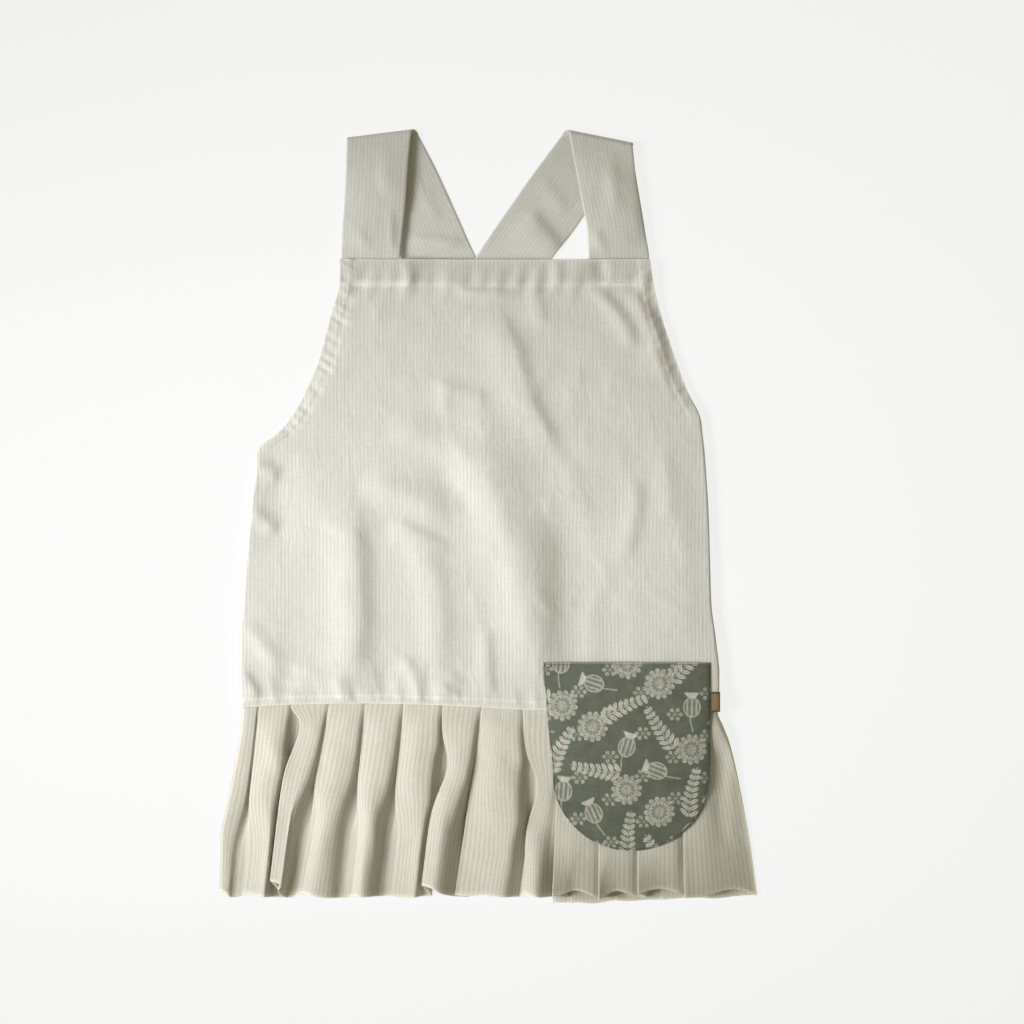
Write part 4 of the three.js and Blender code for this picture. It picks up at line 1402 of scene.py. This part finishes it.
        left_wing = self.wing_section(
            share, self.left_wing_pleats, WING_EDGE_LEFT(y), left + left_radius, self.left_hem[::-1]
        )
        right_wing = self.wing_section(
            share, self.right_wing_pleats, right - right_radius, WING_EDGE_RIGHT(y), self.right_hem
        )
        front = self.front_section(share, left + left_radius, right - right_radius)
        controls = [
            *((x, back + z, hem_y, fold) for x, z, hem_y, fold in left_wing),
            *arc(left, left_radius, Side.LEFT, self.left_hem[0], (-45, 0, 45)),
            *((x, self.outer_height(x, share) - depth, hem_y, fold) for x, depth, hem_y, fold in front),
            *arc(right, right_radius, Side.RIGHT, self.right_hem[0], (45, 0, -45)),
            *((x, back + z, hem_y, fold) for x, z, hem_y, fold in right_wing),
        ]
        points = [
            np.stack([x, lerp(SEAM_LINE(x) + SEAM_LAP, hem_y, share), z], axis=-1) for x, z, hem_y, _ in controls
        ]
        return np.stack(points, axis=1), [fold for *_, fold in controls]

    def tightened(self, net: Array, folds: list[Array | None]) -> Array:
        """The net with an extra control point beside each fold, on the longer cloth that leads to it.

        Two controls that follow each other and both end a fold are the fold itself where they belong
        together, and otherwise the hidden return of a pleat, which gets a point at both its ends.
        """
        made = []
        hop = False
        for i in range(net.shape[1] - 1):
            here, there = net[:, i], net[:, i + 1]
            made.append(here)
            hop = folds[i] is not None and folds[i + 1] is not None and not hop
            if hop:
                continue
            way = there - here
            length = np.maximum(np.linalg.norm(way, axis=1), TINY)
            if folds[i] is not None:
                made.append(here + way * np.minimum(folds[i] / length, 0.3)[:, None])
            if folds[i + 1] is not None:
                made.append(there - way * np.minimum(folds[i + 1] / length, 0.3)[:, None])
        made.append(net[:, -1])
        return np.stack(made, axis=1)

    def spline(self, controls: int) -> Array:
        """Weights (columns, controls) of a uniform cubic B-spline, held at both ends."""
        at = np.linspace(0.0, controls - 1.0, (controls - 1) * self.samples + 1)
        span = np.minimum(at.astype(int), controls - 2)
        t = at - span
        weights = np.zeros((len(at), controls))
        shares = [(1 - t) ** 3 / 6, (3 * t**3 - 6 * t**2 + 4) / 6, (-3 * t**3 + 3 * t**2 + 3 * t + 1) / 6, t**3 / 6]
        for offset, share in zip((-1, 0, 1, 2), shares):
            np.add.at(weights, (np.arange(len(at)), np.clip(span + offset, 0, controls - 1)), share)
        return weights

    def sheet(self) -> Sheet:
        """The strip: its spline, the unevenness and creases of its upper layers, and its flat places.

        Across, the flat place is the mean length of the cloth between two columns, added up, so that the
        stripes follow the pleats.
        """
        net = self.tightened(*self.net())
        points = np.einsum("dm,nmk->dnk", self.spline(net.shape[1]), net)
        share = self.shares()
        upper = smoothstep(share, 0.08, 0.3) * smoothstep(points[..., 2], 5.0, 9.0)
        x, y = points[..., 0].copy(), points[..., 1].copy()
        points[..., 2] += upper * self.unevenness.relief(x, y)
        for crease in self.creases:
            points[..., 2] += upper * crease.relief(x, y)
        points[..., 1] += share**4 * self.hem_sway.relief(x, 0.0 * share)
        step = np.linalg.norm(np.diff(points, axis=0), axis=2).mean(axis=1)
        across = np.concatenate([[0.0], np.cumsum(step)])
        along = np.broadcast_to(-share * self.depth(), points.shape[:2])
        flat = np.stack([np.broadcast_to(across[:, None], along.shape), along], axis=-1)
        wear = np.broadcast_to(self.hem_wear * bell((1.0 - share) * self.depth(), 2.2), along.shape)
        return Sheet(points, flat, {WEAR_AND_HIGHLIGHT: wear})

    def hem_paths(self, sheet: Sheet, above: float) -> list[SeamPath]:
        """Stitch lines along the hem, at a height above it, wherever the cloth's outer side faces up."""
        share = 1.0 - above / self.depth()
        shares = self.shares()
        row = int(np.searchsorted(shares, share))
        blend = (share - shares[row - 1]) / (shares[row] - shares[row - 1])
        line = lerp(sheet.points[:, row - 1], sheet.points[:, row], blend)
        normal, _ = sheet_normals(sheet.points, np.ones(np.array(sheet.points.shape[:2]) - 1, bool))
        up = normal[:, row]
        line = line + up * CLOTH / 2
        facing = up[:, 2] > 0.3
        breaks = np.flatnonzero(np.diff(facing)) + 1
        runs = [run for run in np.split(np.arange(len(line)), breaks) if facing[run[0]] and len(run) > 4]
        return [SeamPath(line[run], up[run]) for run in runs]

    def frayed(self, sheet: Sheet, count: int = 620) -> Array:
        """Loose fibres along the hem's cut edge: thin tapering tubes that bend down and aside.

        Args:
            sheet: The strip.
            count: Number of fibres.

        Returns:
            Rings of the fibres, as tube_mesh takes them.
        """
        draw = np.random.default_rng(71)
        edge = SeamPath(sheet.points[:, -1], np.zeros_like(sheet.points[:, -1]) + [0.0, 0.0, 1.0])
        root, _ = edge.at(draw.uniform(0.0, edge.length(), count))
        length = draw.uniform(0.8, 2.6, count)
        aim = np.stack([draw.normal(0, 0.45, count), -np.ones(count), draw.normal(0.0, 0.25, count)], axis=-1)
        bend = np.stack([draw.normal(0, 0.5, count), np.zeros(count), draw.normal(0, 0.3, count)], axis=-1)
        t = np.array([0.0, 0.4, 0.75, 1.0])
        way = unit(aim)[:, None] * t[:, None] + bend[:, None] * (t * t)[:, None]
        core = root[:, None] + way * length[:, None, None]
        core = core + [0.0, 0.5, 0.0]  # the roots stay inside the cloth
        core[..., 2] = np.maximum(core[..., 2], 0.25)  # and the tips above the floor
        radius = np.array([0.2, 0.17, 0.12, 0.04])
        angle = np.arange(4) * math.pi / 2
        turn = np.stack([np.cos(angle), np.zeros(4), np.sin(angle)], axis=-1)
        return core[:, :, None] + turn * radius[:, None, None]

    def build(self, cotton: Material, thread: Material) -> list[Object]:
        """The cloth, its hem stitches and its frayed edge.

        Args:
            cotton: The striped cotton.
            thread: The sewing thread.

        Returns:
            The three pieces.
        """
        sheet = self.sheet()
        cloth = dress(cloth_wall("ruffle_cloth", sheet, CLOTH), cotton, "ruffle")
        stitches = Stitching().build("ruffle_stitches", self.hem_paths(sheet, self.hem_stitches))
        dress(stitches, thread, "ruffle")
        fringe = dress(tube_mesh("ruffle_fringe", self.frayed(sheet)), thread, "ruffle")
        return [cloth, stitches, fringe]


# Straps


# A strap's section: x and y of its left edge, x and y of its right edge, and the height of the cloth's middle.
Section = tuple[float, float, float, float, float]


@dataclass
class Strap:
    """A flat strap from under the bib's hem over a slanting shoulder fold to the opposite wing behind.

    Front and back are smooth lines through their sections; the shoulder is a half circle between them.
    """

    node: str
    front: tuple[Section, ...]
    back: tuple[Section, ...]
    front_wrinkles: tuple[Wrinkle, ...]
    back_wrinkles: tuple[Wrinkle, ...]
    cloth: float = 1.3
    crown: float = 2.6
    front_unevenness: Unevenness = Unevenness(0.25, 81, 34.0)
    back_unevenness: Unevenness = Unevenness(0.25, 83, 34.0)
    edge_wear: float = 0.15
    width: float = 72.0
    columns: int = 27

    def run(self, sections: tuple[Section, ...], count: int) -> Array:
        """Sections at even distances along a run, read from smooth lines through the given ones."""
        table = np.array(sections, float)
        middle = np.stack([table[:, 0] + table[:, 2], table[:, 1] + table[:, 3], 2 * table[:, 4]], axis=1) / 2
        along = distances(middle)
        at = np.linspace(0.0, along[-1], count)
        return np.stack([Curve(tuple(zip(along, table[:, i])))(at) for i in range(5)], axis=1)

    def shoulder(self, count: int = 15) -> Array:
        """Sections round the shoulder fold, square to its line."""
        top, under = np.array(self.front[-1], float), np.array(self.back[0], float)
        radius = (top[4] - under[4]) / 2
        line = unit(np.array([top[2] - top[0], top[3] - top[1]]))
        outward = np.array([-line[1], line[0], -line[1], line[0]])
        angle = np.radians(np.linspace(90.0, -90.0, count + 2)[1:-1])[:, None]
        edges = lerp(top[:4], under[:4], (1.0 - np.sin(angle)) / 2) + outward * radius * np.cos(angle)
        return np.concatenate([edges, under[4] + radius * (1.0 + np.sin(angle))], axis=1)

    def sheet(self) -> Sheet:
        """The strap's grid, rows from its far back end to its front end."""
        front, shoulder, back = self.run(self.front, 64), self.shoulder(), self.run(self.back, 124)
        sections = np.concatenate([front, shoulder, back])[::-1]
        fading = smoothstep(np.linspace(1.0, 0.0, len(front)), 0.0, 0.3)
        on_front = np.concatenate([fading, np.zeros(len(shoulder) + len(back))])[::-1]
        on_back = np.concatenate([np.zeros(len(front) + len(shoulder)), np.ones(len(back))])[::-1]
        across = np.linspace(0.0, 1.0, self.columns)[:, None]
        x = lerp(sections[:, 0], sections[:, 2], across)
        y = lerp(sections[:, 1], sections[:, 3], across)
        z = np.broadcast_to(sections[:, 4], x.shape)
        above = on_front * smoothstep(y, BIB_TOP + 2.0, BIB_TOP + 24.0)
        z = z + self.crown * 4.0 * across * (1.0 - across) * above
        behind = on_back * smoothstep(y, BIB_TOP + 4.0, BIB_TOP + 12.0)
        for there, wrinkles in ((above, self.front_wrinkles), (behind, self.back_wrinkles)):
            for wrinkle in wrinkles:
                z = z + there * wrinkle.relief(x, y)
        raised = self.back_unevenness.height + self.back_unevenness.relief(x, y)
        z = z + above * self.front_unevenness.relief(x, y) + behind * raised
        points = np.stack([x, y, z], axis=-1)
        along = distances(points[self.columns // 2])
        width = np.linalg.norm(points[-1] - points[0], axis=-1)
        flat = np.stack([across * width, np.broadcast_to(-along, x.shape)], axis=-1)
        wear = self.edge_wear * bell(np.minimum(across, 1.0 - across) * self.width, 1.5)
        return Sheet(points, flat, {WEAR_AND_HIGHLIGHT: np.broadcast_to(wear, x.shape)})

    def build(self, cotton: Material) -> list[Object]:
        """The strap, as one piece."""
        strap = dress(cloth_wall(f"{self.node}_cloth", self.sheet(), self.cloth), cotton, self.node)
        return [strap]


LEFT_STRAP = Strap(
    node="strap_left",
    front=(
        (-169, 269, -102, 269, 7.9),
        (-169, 296, -102, 296, 7.9),
        (-168, 325, -99, 325, 8),
        (-165, 365, -95, 368, 8),
        (-163, 405, -92, 412, 9.4),
        (-162, 431, -89, 440.5, 11),
    ),
    back=(
        (-161, 431, -81, 440.5, 0.7),
        (-142, 391, -58.5, 397, 0.7),
        (-117, 338, -34.5, 344, 0.7),
        (-98, 293, -17, 305, 0.7),
        (-50, 206, 21, 240, 0.7),
        (-1, 128, 66, 164, 0.7),
        (27, 84, 92, 120, 2.1),
        (40, 64, 105, 98, 2.1),
        (62, 25, 126, 58, 2.1),
    ),
    front_wrinkles=(
        Wrinkle((-120, 432), (-118, 372), 1.6, 10, 8),
        Wrinkle((-150, 330), (-138, 300), 1.6, 8, 8),
        Wrinkle((-90, 440), (-96, 350), 3.0, 20, 30),
        Wrinkle((-112, 352), (-110, 300), 1.2, 4, 5),
    ),
    back_wrinkles=(Wrinkle((-92, 320), (-30, 316), 2.4, 6, 7), Wrinkle((-80, 380), (-58, 345), 1.2, 7, 7)),
)
RIGHT_STRAP = Strap(
    node="strap_right",
    front=(
        (116, 269, 185, 269, 7.1),
        (116, 296, 185, 296, 7.3),
        (115, 326, 181, 325, 8),
        (108, 365, 175, 362, 8),
        (99, 412, 169, 398, 9.4),
        (94, 440, 166, 425, 11),
    ),
    back=(
        (86, 440, 165, 425, 0.7),
        (53, 396, 133, 380, 0.7),
        (22, 352, 97, 328, 0.7),
        (-2, 317, 72, 296, 2.5),
        (-37, 264, 31, 234, 2.5),
        (-91, 190, -28, 152, 2.5),
        (-134, 134, -72, 96, 2.3),
        (-158, 100, -94, 66, 2.1),
        (-180, 58, -116, 26, 2.1),
    ),
    front_wrinkles=(
        Wrinkle((140, 430), (146, 350), 2.2, 9, 9),
        Wrinkle((122, 330), (134, 300), 1.8, 7, 7),
        Wrinkle((164, 400), (172, 320), 2.0, 8, 24),
    ),
    back_wrinkles=(Wrinkle((44, 350), (84, 304), 4.5, 9, 30), Wrinkle((60, 390), (90, 352), 1.4, 8, 8)),
)


# Pocket


class Motif(Enum):
    """Motifs of the pocket's print."""

    DAISY = 0
    FERN = 1
    POD = 2


@dataclass(frozen=True)
class MeadowPrint:
    """A meadow print in pale ink: daisies, fern fronds and seed pods in a half-drop repeat, with berry sprays."""

    column: float = 37.0
    row: float = 49.0
    daisy: float = 18.0
    frond: float = 58.0
    pod: float = 10.5
    spray: float = 7.0
    petals: float = 13.0
    leaf_pairs: int = 8
    leaf: float = 14.0
    berry: float = 2.5
    berries: int = 6
    blotching: Unevenness = Unevenness(1.0, 93, 7.0)

    def daisy_ink(self, p: Array, q: Array) -> tuple[Array, Array]:
        """Two rings of petals round a dotted middle: ink and cover by distance and angle from the centre."""
        distance, angle = np.hypot(p, q), np.arctan2(q, p)
        lobe = np.abs(np.cos(self.petals / 2 * angle))
        edge = self.daisy * (0.7 + 0.3 * lobe**0.6)
        cover = smoothstep(edge - distance, 0.0, 0.9)
        hatch = 0.5 + 0.5 * np.cos(4 * self.petals * angle)
        petal = 0.3 + 0.4 * hatch * smoothstep(distance, self.daisy * 0.3, self.daisy * 0.75)
        petal = np.maximum(petal, 0.95 * bell(edge - distance - 0.8, 1.0)) * smoothstep(lobe, 0.08, 0.4)
        inner = self.daisy * (0.5 + 0.12 * np.abs(np.sin(self.petals / 2 * angle)))
        petal = np.maximum(petal, 0.9 * bell(distance - inner, 0.9))
        dots = smoothstep(np.cos(p * 2.1) * np.cos(q * 2.1), 0.0, 0.5)
        middle = smoothstep(self.daisy * 0.32 - distance, 0.0, 0.8)
        return lerp(petal, 0.3 + 0.65 * dots, middle), cover

    def fern_ink(self, p: Array, q: Array) -> tuple[Array, Array]:
        """A bowed stem with paired leaflets that shorten to the tip: ellipses, each with a dark midrib."""
        p = p - 9.0 * np.square(q / self.frond)
        ink = 0.9 * bell(p, 0.7) * (np.abs(q) < self.frond / 2)
        cover = ink
        for i in range(self.leaf_pairs):
            base = self.frond * (i / self.leaf_pairs - 0.5)
            length = self.leaf * (1.0 - 0.075 * i)
            for hand in (-1.0, 1.0):
                a, b = hand * p, q - base
                along = a * 0.8 + b * 0.6
                aside = -a * 0.6 + b * 0.8
                inside = 1.0 - np.square((along - length / 2) / (length / 2)) - np.square(aside / 2.5)
                leaf = smoothstep(inside, 0.0, 0.3)
                ink = np.maximum(ink, leaf * (0.95 - 0.6 * bell(aside, 0.6)))
                cover = np.maximum(cover, leaf)
        return ink, cover

    def pod_ink(self, p: Array, q: Array) -> tuple[Array, Array]:
        """A ribbed round pod with a crown above and a stalk below."""
        distance = np.hypot(p, q * 0.85)
        body = smoothstep(self.pod - distance, 0.0, 0.9)
        ribs = 0.35 + 0.3 * np.cos(np.arcsin(np.clip(p / self.pod, -1.0, 1.0)) * 12.0)
        ribs = np.maximum(ribs, 0.95 * bell(self.pod - distance - 0.8, 0.9))
        above = q - self.pod
        crown = smoothstep(3.4 - np.abs(above - 3.4), 0.0, 0.8)
        crown = crown * smoothstep(4.4 + 0.8 * above - np.abs(p), 0.0, 0.8)
        stalk = bell(p - 1.8 * np.sin(q * 0.14), 0.8) * (q < -self.pod * 0.8) * (q > -self.pod - 18.0)
        return np.maximum.reduce([body * ribs, 0.85 * crown, 0.8 * stalk]), np.maximum.reduce([body, crown, stalk])

    def spray_ink(self, p: Array, q: Array) -> tuple[Array, Array]:
        """Small round berries on a ring and in its middle, each with a paler outline."""
        ink, cover = 0.0 * p, 0.0 * p
        for turn in np.arange(self.berries) * 2.0 * math.pi / self.berries:
            a, b = p - self.spray * math.cos(turn), q - self.spray * math.sin(turn) * 0.8
            distance = np.hypot(a, b)
            berry = smoothstep(self.berry - distance, 0.0, 0.8)
            ink = np.maximum(ink, berry * np.maximum(0.4, 0.95 * bell(distance - 1.9, 0.7)))
            cover = np.maximum(cover, berry)
            stem = bell(-p * math.sin(turn) + q * math.cos(turn), 0.6) * (np.hypot(p, q) < self.spray * 0.7)
            ink = np.maximum(ink, 0.7 * stem)
        return ink, np.maximum(cover, ink)

    def ink(self, x: Array, y: Array) -> Array:
        """Ink from 0 to 1 over places on the pocket.

        Args:
            x: Places across from the pocket's middle.
            y: Places down from its top.

        Returns:
            The ink.
        """
        draw = np.random.default_rng(91)
        total = np.zeros_like(x)
        makers = {Motif.DAISY: self.daisy_ink, Motif.FERN: self.fern_ink, Motif.POD: self.pod_ink}
        for i in range(-3, 4):
            for j in range(-1, 6):
                centre_x = i * self.column + draw.uniform(-2.0, 2.0)
                centre_y = -j * self.row + (self.row / 2 if i % 2 else 0.0) + draw.uniform(-2.0, 2.0)
                turn = draw.uniform(-0.7, 0.7) + (0.9 if i % 2 else -0.5)
                p, q = x - centre_x, y - centre_y
                sprayed, covered = self.spray_ink(p - self.column / 2, q - self.row * 0.32)
                total = np.maximum(total, sprayed * covered)
                local = (p * math.cos(turn) + q * math.sin(turn), -p * math.sin(turn) + q * math.cos(turn))
                ink, cover = makers[Motif((2 * i + j) % 3)](*local)
                total = total * (1.0 - cover) + ink * cover
        blotched = 1.0 - 0.18 * np.clip(self.blotching.relief(x, y), -1.0, 1.0)
        return np.clip(total * blotched, 0.0, 1.0)


@dataclass
class Pocket:
    """A patch pocket with a rounded lower edge, standing a little off the apron at its mouth."""

    panel: Panel
    ruffle: Ruffle
    top: float = -168.0
    left: float = 62.5
    right: float = 255.0
    side_end: float = -296.0
    bottom: float = -384.0
    taper: float = 12.0
    puff: float = 4.8
    seat: float = 1.3
    rim: float = 1.7
    rim_fold: float = 0.5
    rim_groove: float = 0.35
    mouth_wear: float = 0.3
    mouth_stitches: float = 1.8
    unevenness: Unevenness = Unevenness(0.8, 101, 45.0)
    seam_lift: float = 0.7  # over the double cloth of the seam
    flute_lift: float = 1.2  # over the flutes that are let go below this row
    flute_row: float = -322.0
    side_share: float = 1.4  # the border's run over its part round the lower edge
    print_design: MeadowPrint = MeadowPrint()

    def bed(self, x: Array, y: Array) -> Array:
        """Middle of the outermost cloth under the pocket: the panel above the seam, the ruffle below it."""
        seam = SEAM_LINE(x)
        share = (seam + SEAM_LAP - y) / (seam + SEAM_LAP - HEM)
        ruffle = self.ruffle.outer_height(x, np.clip(share, 0.0, 1.0))
        return lerp(self.panel.height(x, np.maximum(y, seam)), ruffle, smoothstep(share, 0.08, 0.3))

    def place(self, across: Array, down: Array) -> Array:
        """Points of the pocket.

        The left side leans in a little; below the straight sides the outline is half an ellipse. The cloth
        stands off by a half circle across that grows from the lower edge to the mouth.

        Args:
            across: From -1 at the left side to 1 at the right.
            down: From 0 at the mouth to 1 at the lower edge.

        Returns:
            The points.
        """
        round_off = self.round_off(across)
        bottom = lerp(self.side_end, self.bottom, round_off)
        y = lerp(self.top, bottom, down)
        lean = np.clip((self.top - y) / (self.top - self.side_end), 0.0, 1.0)
        middle, half = (self.left + self.right) / 2, (self.right - self.left) / 2
        x = middle + half * across + self.taper * lean * (1 - across) / 2
        from_bottom = (y - bottom) / (self.top - self.bottom)
        puff = self.puff * round_off * smoothstep(from_bottom, 0.0, 0.55)
        uneven = round_off * self.unevenness.relief(x, y)
        seam = self.seam_lift * bell(y - SEAM_LINE(x) - 4.0, 22.0)
        flutes = self.flute_lift * smoothstep(self.flute_row - y, 0.0, 24.0)
        z = self.bed(x, y) + self.seat + (seam + flutes) + puff + uneven
        return np.stack([x, y, z], axis=-1)

    def round_off(self, across: Array) -> Array:
        """Half a circle from side to side: 0 at both sides and 1 in the middle."""
        return np.sqrt(np.maximum(0.0, 1.0 - across * across))

    def sheet(self, columns: int = 206, rows: int = 216) -> Sheet:
        """The pocket's grid, its columns a little closer together at both sides."""
        even = np.linspace(-1.0, 1.0, columns)[:, None]
        across = 0.8 * even + 0.2 * np.sin(even * math.pi / 2)
        down = np.linspace(0.0, 1.0, rows)
        points = self.place(across, down)
        flat = points[..., :2] - [(self.left + self.right) / 2, self.top]
        half = (self.right - self.left) / 2
        from_side = half * (1.0 - np.abs(across)) * np.ones_like(down)
        lower = (points[..., 1] - points[:, -1:, 1]) * np.maximum(self.round_off(across), 0.25)
        rim = np.minimum(np.minimum(from_side, lower), self.top - points[..., 1])
        fold = self.rim_fold * smoothstep(rim, 0.0, 1.6) - self.rim_groove * bell(rim - self.rim, 1.2)
        points[..., 2] += fold
        wear = self.mouth_wear * bell(self.top - points[..., 1], 1.2)
        return Sheet(points, flat, {WEAR_AND_HIGHLIGHT: wear, INK: self.print_design.ink(flat[..., 0], flat[..., 1])})

    def edge_path(self) -> list[SeamPath]:
        """Stitch lines: down the left side, round the lower edge and up the right, and under the mouth."""
        turn = np.linspace(-1.0, 1.0, 900)
        inset = 1.0 - self.rim / 95.0
        across = inset * np.sin(np.clip(turn * self.side_share, -1.0, 1.0) * math.pi / 2)
        side = np.clip((1.0 - np.abs(turn)) / (1.0 - 1.0 / self.side_share), 0.0, 1.0)
        bottom = lerp(self.side_end, self.bottom, self.round_off(across))
        reach = (self.top - bottom - self.rim) / (self.top - bottom)
        border = self.place(across, side * reach)
        mouth_across = np.linspace(-0.97, 0.97, 500)
        mouth = self.place(mouth_across, np.full(500, self.mouth_stitches / 170.0))
        up = np.array([0.0, 0.0, 1.0])
        lift = up * (CLOTH / 2 + 0.35)
        return [SeamPath(line + lift, np.zeros_like(line) + up) for line in (border, mouth)]

    def build(self, cotton: Material, thread: Material) -> list[Object]:
        """The pocket and its stitches.

        Args:
            cotton: The printed cotton.
            thread: The sewing thread.

        Returns:
            The two pieces.
        """
        cloth = dress(cloth_wall("pocket_cloth", self.sheet(), CLOTH), cotton, "pocket")
        stitches = Stitching(pitch=3.0).build("pocket_stitches", self.edge_path())
        dress(stitches, thread, "pocket")
        return [cloth, stitches]


@dataclass
class Label:
    """A small bare leather tab at the pocket's right edge, with a pressed border line."""

    pocket: Pocket
    left: float = 255.8
    right: float = 266.2
    top: float = -202.0
    bottom: float = -224.0
    thickness: float = 1.2
    border: float = 1.4
    groove: float = 0.3
    clearance: float = 0.3

    def build(self, leather: Material) -> list[Object]:
        """The tab: a flat grid with a groove along its border."""
        x = np.linspace(self.left, self.right, 25)[:, None]
        y = np.linspace(self.top, self.bottom, 45)[None]
        under = float(self.pocket.panel.surface(x + 0 * y, y + 0 * x).max())
        bed = under + (CLOTH + self.thickness) / 2 + self.clearance
        edge = np.minimum(np.minimum(x - self.left, self.right - x), np.minimum(self.top - y, y - self.bottom))
        z = bed - self.groove * bell(edge - self.border, 0.45) + 0.15 * smoothstep(edge, 0.0, 0.8)
        points = np.stack([x + 0 * y, y + 0 * x, z], axis=-1)
        wear = np.clip(0.9 * bell(edge, 0.8) + 0.6 * bell(edge - self.border, 0.5), 0.0, 1.0)
        tab = cloth_wall("label_tab", Sheet(points, points[..., :2], {WEAR_AND_HIGHLIGHT: wear}), self.thickness)
        dress(tab, leather, "label")
        return [tab]


# Studio


@dataclass
class Studio:
    """Paper floor, soft light from the left and a camera straight above; sizes in metres."""

    floor_size: float = 8.0
    floor_drop: float = 0.0003
    centre: tuple[float, float] = (0.0276, 0.0052)
    frame_width: float = 1.1776
    lens: float = 100.0
    sensor: float = 36.0
    apron_height: float = 0.012
    key_place: tuple[float, float, float] = (-1.5, -0.2, 1.13)
    key_aim: tuple[float, float, float] = (-0.11, -0.07, 0.0)
    key_size: float = 1.0
    key_spread: float = 42.0
    key_power: float = 5.05
    fill: float = 0.27
    fill_colour: str = "#fff9d0"

    def build(self, paper: Material) -> None:
        """Makes the floor, the light, the surroundings and the camera."""
        half = self.floor_size / 2 / MM
        corners = np.array([[-half, -half], [half, -half], [half, half], [-half, half]])
        points = np.column_stack([corners, np.full(4, -self.floor_drop / MM)])
        floor = make_piece("paper_floor", points, np.array([[0, 1, 2, 3]]))
        floor.data.materials.append(paper)

        light = bpy.data.lights.new("key_light", "AREA")
        light.energy, light.size, light.spread = self.key_power, self.key_size, math.radians(self.key_spread)
        key = bpy.data.objects.new("key_light", light)
        key.location = self.key_place
        key.rotation_euler = (Vector(self.key_aim) - key.location).to_track_quat("-Z", "Y").to_euler()
        bpy.context.scene.collection.objects.link(key)

        world = bpy.data.worlds.new("studio_light")
        world.use_nodes = True
        world.node_tree.nodes["Background"].inputs["Color"].default_value = linear(self.fill_colour)
        world.node_tree.nodes["Background"].inputs["Strength"].default_value = self.fill
        bpy.context.scene.world = world

        lens = bpy.data.cameras.new("camera")
        lens.lens, lens.sensor_width = self.lens, self.sensor
        camera = bpy.data.objects.new("camera", lens)
        distance = self.frame_width * self.lens / self.sensor
        camera.location = (*self.centre, self.apron_height + distance)
        bpy.context.scene.collection.objects.link(camera)
        bpy.context.scene.camera = camera
        bpy.context.scene.view_settings.view_transform = "Standard"


PANEL_COTTON = StripedCotton(name="striped_cotton", pale="#d7d6d4", dark="#c9c8c3", rubbed="#f4f2ea")
RUFFLE_COTTON = StripedCotton(name="striped_cotton_ruffle", pale="#d0cdc6", dark="#c2bfb4", rubbed="#efebdf")
STRAP_COTTON = StripedCotton(name="striped_cotton_strap", pale="#d5d5d3", dark="#cccbc8", rubbed="#e2e1da")
POCKET_COTTON = PrintedCotton(name="printed_cotton", ground="#646a5f", ink="#cfcdc4", rubbed="#d2d0c4")
CREAM_THREAD = SewingThread(name="cotton_thread", colour="#e6e3d8", shade="#d4d0c2")
SAGE_THREAD = SewingThread(name="sage_thread", colour="#6f766a", shade="#5a6056")
BROWN_LEATHER = LabelLeather(name="label_leather", face="#8a7650", burnished="#42361f")


def main() -> None:
    """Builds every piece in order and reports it."""
    logging.basicConfig(level=logging.INFO, format="%(name)s: %(message)s")
    Studio().build(PaperSweep().build())
    cotton, thread = PANEL_COTTON.build(), CREAM_THREAD.build()
    strap_cotton = STRAP_COTTON.build()
    panel, ruffle = Panel(), Ruffle()
    pocket = Pocket(panel, ruffle)
    made = panel.build(cotton, thread)
    made += ruffle.build(RUFFLE_COTTON.build(), thread)
    for strap in (LEFT_STRAP, RIGHT_STRAP):
        made += strap.build(strap_cotton)
    made += pocket.build(POCKET_COTTON.build(), SAGE_THREAD.build())
    made += Label(pocket).build(BROWN_LEATHER.build())
    for piece in made:
        LOG.info("%s: %d faces", piece.name, len(piece.data.polygons))


if __name__ == "__main__":
    main()
